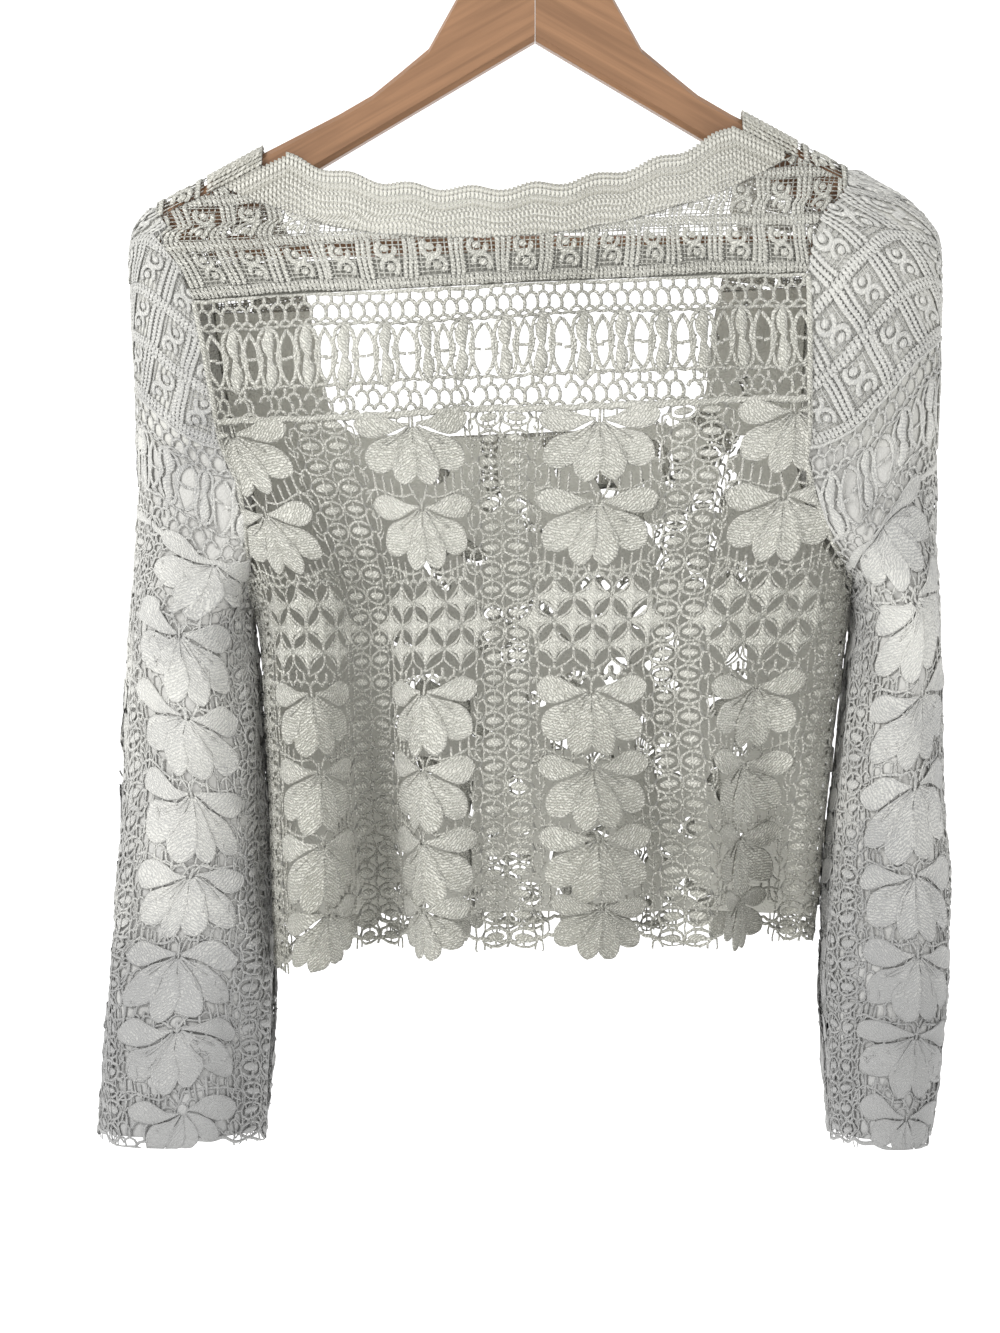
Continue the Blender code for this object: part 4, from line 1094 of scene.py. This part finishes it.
def sleeve_parts(side, low, high):
    """All motifs of a sleeve half: flowers, ovals, the cuff's small flowers, openwork, net and edge cord."""
    first = SLEEVE_FIRST[side]
    columns = across_of(SLEEVE_PITCH, low - 30, high + 30, first)
    ovals = across_of(SLEEVE_PITCH, low - 16, high + 16, first + SLEEVE_PITCH / 2)
    parts = flower_field(SLEEVE_JUNCTIONS, columns, ovals, (), CUFF_DOWN - 6)
    parts.append(repeat(small_flower(), columns, CUFF_DOWN - 17))
    parts += openwork_band(low, high, CAP_DOWN)
    parts.append(net_fill(low, high, CAP_DOWN + 69, CUFF_DOWN - 4))
    x = np.arange(low, high + 2, 2.5)
    y = CUFF_DOWN - 2 + 1.5 * np.abs(np.sin(math.pi * x / 16.1))
    parts.append(sweep(np.stack([x, y], axis=-1), 1.0, 1.1, CORD))
    return parts


for side, word in SIDES:
    chart = sleeves[side]
    for low, high, half_word in ((-145.0, 0.0, "back"), (0.0, 145.0, "front")):
        piece = lay(f"lace_sleeve_{half_word}_{word}", chart.place, sleeve_parts(side, low, high),
                    lambda d, low=low, chart=chart: np.maximum(low, -chart.half(d)),
                    lambda d, high=high, chart=chart: np.minimum(high, chart.half(d)),
                    straight(CAP_DOWN - 20), straight(CUFF_DOWN + 0.5),
                    sleeve_thread_shaded, 2.4, drift=cap_rise(side, chart), relief=SLEEVE_RELIEF, owns=(CAP_DOWN, 1e6),
                    crumple=SLEEVE_CRUMPLE[side])
        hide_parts(f"sleeve_{half_word}_{word}")
        first, last = edges_of[piece.name][:2]
        declare(piece, (first, last, straight(CAP_DOWN), straight(CUFF_DOWN)))


# %% [markdown]
# ## Yoke, caps and neck band
# The yoke and the caps are the close scroll lace: rows of tiles with a knitted edge. The neck band is a plain
# upright knit, a column of stitches every two millimetres, with a soft scalloped edge on the back. Their ribs lie so
# close that high ones would give more surface than flat cloth can have, so they are laid lower than they are drawn.

# %% Yoke and caps
SCROLL_MOTIF = scroll_tile()
YOKE_RELIEF, BAND_RELIEF, CAP_RELIEF = 0.55, 0.8, {1: 0.75, -1: 0.4}
CAP_TOP = {1: 187.5, -1: 207.5}
BAND_TOP_V, BAND_RISE, BAND_HALF, BAND_DEEP, BAND_DEEPER = -53.5, 34.0, 131.5, 27.0, 7.0


def seam_drop(x):
    """How far the shoulder seam lies below the ridge: 14 mm at the neck, 9 at the shoulder's end."""
    return 14 - 5 * np.clip((np.abs(x - MIDDLE_X) - 120) / 70, 0, 1)


def seam_v(u):
    """The shoulder seam's row: the ridge less its drop, with the rows' tilt taken off."""
    x = u + MIDDLE_X
    return YOKE_ROW_Z - (ridge(x) - seam_drop(x) - TILT_TOP * (x - MIDDLE_X))


def band_top_v(u):
    """The back band's upper edge: it climbs from the middle by a power of the distance."""
    return BAND_TOP_V - BAND_RISE * np.abs(u / BAND_HALF) ** 2.2


def band_low_v(u):
    """The back band's lower edge: its depth grows with the square of the distance."""
    return band_top_v(u) + BAND_DEEP + BAND_DEEPER * (u / BAND_HALF) ** 2


def scroll_field(low, high, rows, edge):
    """Rows of scroll tiles with a strip of knit stitches between the rows and along the lower edge."""
    parts = [repeat(SCROLL_MOTIF, across_of(SCROLL, low - 12, high + 12, SCROLL / 2), row, 0.15) for row in rows]
    stitch = knit_column(edge, 2.6, 1.2)
    for row in rows:
        parts.append(repeat(stitch, across_of(2.3, low, high), row + SCROLL_ROW / 2, 0.05))
    return parts


YOKE_ROWS = (-17.5, -44.0, -70.5)


def lean(across, down):
    """How far the yoke's uprights lean out at a place: more towards the left shoulder, as they spread from the neck."""
    return 0.4 * np.clip(-across / 170, -0.25, 1) * (down + 10)


def fanned(across, down, up):
    """The body chart's place for a yoke place whose uprights lean out."""
    return body.place(across + lean(across, down), down, up)


def yoke_top(across):
    """The yoke's upper edge: the neck band's lower edge or the shoulder seam, found again for the leaned place."""
    down = np.full_like(across, -50.0)
    for _ in range(5):
        placed = across + lean(across, down)
        down = np.maximum(band_low_v(placed), seam_v(placed))
    return down


yoke = lay("lace_back_yoke", fanned, scroll_field(-215, 200, YOKE_ROWS, 5.6),
           lambda d: -armhole_u(d) - 0.4 * (d + 10), lambda d: armhole_u(d) + 0.1 * (d + 10), yoke_top,
           straight(-0.3), lace_thread, relief=YOKE_RELIEF)
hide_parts("back_yoke")
declare(yoke)

for side, word in SIDES:
    chart = sleeves[side]
    rows = np.arange(323.5, CAP_TOP[side] - 10, -26.0)
    parts = scroll_field(-145, 220, rows, 5.6) + openwork_band(-145, 145, CAP_DOWN)
    piece = lay("lace_sleeve_cap_" + word, chart.place, parts,
                lambda d, chart=chart: -chart.half(d), chart.half,
                straight(CAP_TOP[side]), straight(CAP_DOWN + 20), sleeve_thread_shaded,
                drift=cap_rise(side, chart), relief=CAP_RELIEF[side], owns=(-1e6, CAP_DOWN))
    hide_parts("sleeve_cap_" + word)
    first, last, highest = edges_of[piece.name][:3]
    declare(piece, (first, last, highest, straight(CAP_DOWN)))


# %% Front yoke and front band charts
def over_shoulder(side, u):
    """Rows of points at front columns u: up from the seam on the back, over the ridge, to the front's first row."""
    x = side * u + MIDDLE_X
    rows = []
    for share in np.linspace(0, 1, 4):
        z = ridge(x) - (seam_drop(x) * (1 - share) + RIDGE_ROUND * 1.02 * share)
        rows.append(np.stack([x, -close_up(x, 0 * x + 34.0, z), z], axis=-1))
    for angle in np.radians(np.arange(-72, 73, 18)):
        z = ridge(x) - RIDGE_ROUND + RIDGE_ROUND * math.cos(angle)
        rows.append(np.stack([x, 0 * x + RIDGE_ROUND * math.sin(angle), z], axis=-1))
    return rows


def front_start_v(side, u):
    """The body chart's row where the front takes over from the ridge."""
    x = side * u + MIDDLE_X
    return YOKE_ROW_Z - (ridge(x) - RIDGE_ROUND * 1.15 - TILT_TOP * (x - MIDDLE_X))


def path_chart(rows, wide, side):
    """A chart over rows of points: down by the middle line's length, across by the row's share times wide."""
    points = np.array(rows)
    middle = points[:, points.shape[1] // 2]
    length = np.concatenate([[0], np.cumsum(np.linalg.norm(np.diff(middle, axis=0), axis=1))])
    even = np.linspace(0, length[-1], int(length[-1] / 1.5))
    flat = points.reshape(len(points), -1)
    evened = np.stack([np.interp(even, length, flat[:, k]) for k in range(flat.shape[1])], axis=-1)
    grid = evened.reshape(len(even), points.shape[1], 3)
    across = np.linspace(0, wide, points.shape[1])
    return Chart(grid, even, across, side), float(length[-1])


YOKE_STRIP = 22.5  # the front yoke's width
YOKE_TOP_U = (163.0, 189.5)  # from where to where it runs along the shoulder seam


def front_yoke_rows(side):
    """Rows over the shoulder, then down the front between the band's outer edge and the armhole."""
    share = np.linspace(0, 1, 13)
    top_u = YOKE_TOP_U[0] + (YOKE_TOP_U[1] - YOKE_TOP_U[0]) * share
    rows = over_shoulder(side, top_u)
    start = front_start_v(side, top_u)
    for k in np.linspace(0, 1, 30):
        v = start * (1 - k) - 0.3 * k
        low, high = neck_edge(v), armhole_u(v)
        rows.append(body.at(front_across(side, low + (high - low) * share), v))
    return rows


def front_band_rows(side):
    """Rows over the shoulder, down the front, round the neck's corner and along to the centre front."""
    across = np.linspace(0, 1, 9)
    top_u = BAND_HALF + FRONT_WIDTH * across
    rows = over_shoulder(side, top_u)
    start = front_start_v(side, top_u)
    for t in np.linspace(0, 1, 50):
        v = start * (1 - t) + CORNER_V * t
        rows.append(body.at(front_across(side, band_inner(v) + FRONT_WIDTH * across), v))
    for angle in np.radians(np.arange(5, 91, 5)):
        radius = CORNER_R + FRONT_WIDTH * across
        rows.append(body.at(front_across(side, CORNER_U + radius * math.cos(angle)),
                            CORNER_V + radius * math.sin(angle)))
    for u in np.linspace(CORNER_U, 0.15, 30)[1:]:
        rows.append(body.at(front_across(side, u + 0 * across), CORNER_V + CORNER_R + FRONT_WIDTH * across))
    return rows


for side, word in SIDES:
    chart, length = path_chart(front_yoke_rows(side), YOKE_STRIP, -side)
    spacing = length / round(length / 25.5)
    rows = spacing * (np.arange(round(length / spacing)) + 0.5) - 2.5
    piece = lay("lace_front_yoke_" + word, chart.place, scroll_field(2, 21, rows, 4.5),
                straight(0.0), straight(YOKE_STRIP), straight(0.0),
                straight(length), lace_thread, loose=0.2,
                relief=YOKE_RELIEF)
    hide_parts("front_yoke_" + word)
    declare(piece)

    chart, length = path_chart(front_band_rows(side), FRONT_WIDTH, -side)
    column = knit_column(FRONT_WIDTH, 2.6, 1.25)
    turned = moved(column, turn=-math.pi / 2)
    piece = lay("knit_band_front_" + word, chart.place,
                [repeat(turned, 0.0, np.arange(0, length, 2.25), 0.05)],
                straight(0.0), straight(FRONT_WIDTH), straight(0.0),
                straight(length), band_thread, loose=0.2)
    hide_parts("neck_band_front_" + word)
    declare(piece)


# %% Back neck band
def band_edge(a):
    """The back band's upper edge with shallow scallops, kept below the shoulder seam."""
    free = band_top_v(a) > seam_v(a)
    return np.maximum(band_top_v(a), seam_v(a)) + np.where(free, 1.6 * np.cos(2 * math.pi * a / 33), 0)


BAND_END = 155.0
columns = across_of(2.25, -BAND_END, BAND_END)
tops = band_edge(columns)
lows = np.maximum(band_low_v(columns), tops + 3)
knit = [moved(knit_column(low - top, 2.6, 1.25), at, top) for at, top, low in zip(columns, tops, lows)]
band = lay("knit_band_back", body.place, knit, straight(-160.0), straight(160.0),
           straight(-120.0), straight(20.0), band_thread, loose=0.3,
           relief=BAND_RELIEF)
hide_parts("neck_band_back")
declare(band, (straight(-BAND_END), straight(BAND_END), band_edge,
               lambda a: np.maximum(band_low_v(a), band_edge(a) + 3)))


# %% [markdown]
# ## The ground net
# Seen through the back, the photograph shows one even grey-beige field with white in a few places, and the
# shoulders are close and dense. Threads that fine would cost too many faces. So a thin sheet lies just inside the
# front panels, the sleeves, the caps and the yoke, with a cell relief, and with a few open places at the front. Its
# grey tone is painted shade for the garment's inside, and it changes with height as painted light and shade.

# %% Ground net
def net_material(name, lower, upper, low_z, high_z, opened=False):
    """A close net that reads as one tone, grey as painted shade and paler above as painted light, and if opened with a
    few open places across the middle.
    """
    material, tree, shader = new_material(name)
    place = add_node(tree, "TexCoord", {}).outputs["Object"]
    split = add_node(tree, "SeparateXYZ", {"Vector": place})
    # Painted light and shade: the tone goes from the lower colour to the upper one with height.
    height = add_node(tree, "MapRange", {"From Min": low_z, "From Max": high_z, "Value": split.outputs["Z"]})
    tone = add_node(tree, "Mix", {"A": (*lower, 1), "B": (*upper, 1), "Factor": height.outputs["Result"]},
                    data_type="RGBA")
    cells = add_node(tree, "TexVoronoi", {"Scale": 420.0, "Vector": place}, feature="DISTANCE_TO_EDGE")
    relief = add_node(tree, "Bump", {"Strength": 0.6, "Distance": 0.0012, "Height": cells.outputs["Distance"]},
                      invert=True)
    feed(tree, shader, {"Base Color": tone.outputs["Result"], "Normal": relief.outputs["Normal"], "Roughness": 0.9})
    if opened:
        middle = add_node(tree, "Math", {0: split.outputs["X"], 1: 0.02, 2: 0.1}, operation="COMPARE")
        breaks = add_node(tree, "TexNoise", {"Scale": 62.0, "Detail": 0.0, "Vector": place})
        above = add_node(tree, "Math", {0: breaks.outputs["Fac"], 1: 0.61}, operation="GREATER_THAN")
        both = add_node(tree, "Math", {0: middle.outputs["Value"], 1: above.outputs["Value"]}, operation="MULTIPLY")
        closed = add_node(tree, "Math", {0: 1.0, 1: both.outputs["Value"]}, operation="SUBTRACT")
        feed(tree, shader, {"Alpha": closed.outputs["Value"]})
    return material


# The nets' greys, darker than the thread, are painted shade; body and cap nets are painted lighter above, the sleeve
# net darker towards the cuffs, the yoke net even.
body_net = net_material("body_net", (0.5, 0.495, 0.45), (0.7, 0.695, 0.63), -0.4, -0.34, True)
sleeve_net = net_material("sleeve_net", (0.36, 0.36, 0.355), (0.52, 0.515, 0.49), -0.72, -0.5)
cap_net = net_material("cap_net", (0.52, 0.515, 0.49), (0.6, 0.595, 0.555), -0.45, -0.3)
yoke_net = net_material("yoke_net", (0.4, 0.395, 0.355), (0.4, 0.395, 0.355), -0.3, -0.2)


def ground(name, net, chart_place, low, high, top, bottom, depth=-2.2, crumple=0.0):
    """A thin sheet just inside the lace, from a grid of chart places between its edges."""
    down = np.linspace(top, bottom, 60)
    share = np.linspace(0, 1, 90 if crumple else 40)
    first, last = low(down), high(down)
    across = first[:, None] + (last - first)[:, None] * share
    flat_down = np.repeat(down[:, None], len(share), axis=1)
    height = depth + crumple * creases(across.ravel(), flat_down.ravel())
    points = chart_place(across.ravel(), flat_down.ravel(), height)
    index = np.arange(across.size).reshape(across.shape)
    quads = np.stack([index[:-1, :-1], index[:-1, 1:], index[1:, 1:], index[1:, :-1]], axis=-1).reshape(-1, 4)
    if handed(chart_place, float(across.mean()), float(down.mean())) < 0:
        quads = quads[:, ::-1]
    uv = np.stack([across.ravel(), flat_down.ravel()], axis=-1)
    piece = make_mesh(name, points, quads, uv, net)
    declare(piece, (low, high, straight(top), straight(bottom)))
    return piece


for side, word in SIDES:
    ground("net_front_" + word, body_net, front_place(side), lambda d: neck_edge(d, 0.0), panel_side, 0.5, HEM_V - 9)
    chart = sleeves[side]
    low, high = lambda d, chart=chart: 1 - chart.half(d), lambda d, chart=chart: chart.half(d) - 1
    ground("net_sleeve_" + word, sleeve_net, chart.place, low, high, CAP_DOWN, CUFF_DOWN - 5, -1.0, SLEEVE_CRUMPLE[side])
    ground("net_cap_" + word, cap_net, chart.place, low, high, CAP_TOP[side] + 2.5, CAP_DOWN, -1.0)

ground("net_yoke", yoke_net, body.place, lambda d: -armhole_u(d) + 1, lambda d: armhole_u(d) - 1, -19.0, -1.0, -1.6)

# %% [markdown]
# ## The hanger
# Two arms of light hardwood are glued at the middle, with a round bar between them and a steel wire hook. The
# grain runs along each arm, so it is a stretched noise that reads the piece's own coordinates.

# %% Wood and steel
def grain_group():
    """Node group: long streaks along X, from a noise that is stretched twenty times that way."""
    group, start, end = new_group("wood grain", ("Turn",), ("Streak",))
    place = add_node(group, "TexCoord", {}).outputs["Object"]
    turned = add_node(group, "VectorRotate", {"Vector": place, "Angle": start.outputs["Turn"]}, rotation_type="Y_AXIS")
    stretch = add_node(group, "Mapping", {"Scale": (3.0, 60.0, 60.0), "Vector": turned.outputs["Vector"]})
    noise = add_node(group, "TexNoise", {"Scale": 4.0, "Detail": 5.0, "Distortion": 0.6,
                                         "Vector": stretch.outputs["Vector"]})
    feed(group, end, {"Streak": noise.outputs["Fac"]})
    return group


grain = grain_group()


def wood_material(name, turn):
    """Light brown wood: the streak picks a tone between two browns, set darker than the wood's own tone as painted
    shade, under a thin coat of varnish.
    """
    material, tree, shader = new_material(name)
    group = add_node(tree, "Group", {}, node_tree=grain)
    group.inputs["Turn"].default_value = turn
    streak = group.outputs["Streak"]
    colours = add_node(tree, "ValToRGB", {"Fac": streak})
    # Both browns are the wood's grain tones, darkened as painted shade.
    for element, position, colour in zip(colours.color_ramp.elements, (0.32, 0.68),
                                         ((0.215, 0.112, 0.056, 1), (0.31, 0.165, 0.084, 1))):
        element.position, element.color = position, colour
    relief = add_node(tree, "Bump", {"Strength": 0.25, "Distance": 0.0003, "Height": streak})
    feed(tree, shader, {"Base Color": colours.outputs["Color"], "Normal": relief.outputs["Normal"],
                        "Roughness": 0.42, "Coat Weight": 0.15})
    return material


def finish_node(name, material):
    """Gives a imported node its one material."""
    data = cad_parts[name].data
    data.materials.clear()
    data.materials.append(material)


ARM_SLOPE = math.atan(0.56)
for name, turn in (("hanger_arm_right", -ARM_SLOPE), ("hanger_arm_left", ARM_SLOPE), ("hanger_bar", 0.0)):
    finish_node(name, wood_material("wood_" + name, turn))
steel, steel_tree, steel_shader = new_material("hook_wire")
feed(steel_tree, steel_shader, {"Base Color": (0.62, 0.62, 0.62, 1), "Metallic": 1.0, "Roughness": 0.28})
finish_node("hanger_hook", steel)
print("grain turned by", round(math.degrees(ARM_SLOPE), 1), "degrees on the arms")

# %% [markdown]
# ## Light, backdrop and camera
# The photograph is a cut-out on white, lit softly from the front left. A pale wall and floor, one large soft light
# and a weak one on the other side give that. The camera looks straight at the back from 1.7 metres.

# %% Stage
def cyclorama(name, floor_z, back_y, radius, colour, glow):
    """A floor that turns up into a wall through a quarter round, all in one pale matt sheet."""
    angle = np.radians(np.linspace(0, 90, 13))
    profile = [(-6.0, floor_z)] + [(back_y - radius + radius * math.sin(a), floor_z + radius - radius * math.cos(a))
                                   for a in angle] + [(back_y, 5.0)]
    corners = [(x, y, z) for y, z in profile for x in (-6.0, 6.0)]
    mesh = bpy.data.meshes.new(name)
    mesh.from_pydata(corners, [], [(2 * k, 2 * k + 1, 2 * k + 3, 2 * k + 2) for k in range(len(profile) - 1)])
    mesh.polygons.foreach_set("use_smooth", [True] * len(mesh.polygons))
    sheet = bpy.data.objects.new(name, mesh)
    bpy.context.scene.collection.objects.link(sheet)
    material, tree, shader = new_material(name)
    feed(tree, shader, {"Base Color": (*colour, 1), "Roughness": 0.95, "Emission Color": (1, 1, 1, 1),
                        "Emission Strength": glow})
    mesh.materials.append(material)


cyclorama("studio_sheet", -1.25, 2.2, 1.2, (0.85, 0.85, 0.85), 0.5)

world = bpy.data.worlds.new("studio")
bpy.context.scene.world = world
world.use_nodes = True
world.node_tree.nodes["Background"].inputs["Color"].default_value = (1.0, 1.0, 1.0, 1)
world.node_tree.nodes["Background"].inputs["Strength"].default_value = 0.58


def soft_light(name, place, target, size, power):
    """A square area light at a place, turned to face its target."""
    light = bpy.data.lights.new(name, "AREA")
    light.size, light.energy = size, power
    lamp = bpy.data.objects.new(name, light)
    lamp.location = place
    direction = np.array(target) - np.array(place)
    lamp.rotation_euler = (math.acos(-direction[2] / np.linalg.norm(direction)), 0,
                           math.atan2(direction[1], direction[0]) - math.pi / 2)
    bpy.context.scene.collection.objects.link(lamp)


soft_light("key", (-1.35, -1.1, 0.5), (0, 0, -0.4), 0.8, 30)
soft_light("fill", (1.6, -1.4, 0.2), (0, 0, -0.4), 1.4, 12)

camera = bpy.data.cameras.new("camera")
camera.lens, camera.sensor_width = 83.4, 36.0
camera.clip_start, camera.clip_end = 0.05, 30
eye = bpy.data.objects.new("camera", camera)
eye.location = (-0.0193, -1.7, -0.4586)
eye.rotation_euler = (math.pi / 2, 0, 0)
bpy.context.scene.collection.objects.link(eye)
bpy.context.scene.camera = eye
bpy.context.scene.view_settings.view_transform = "Standard"
print("camera at", tuple(eye.location), "with a lens of", camera.lens, "mm")
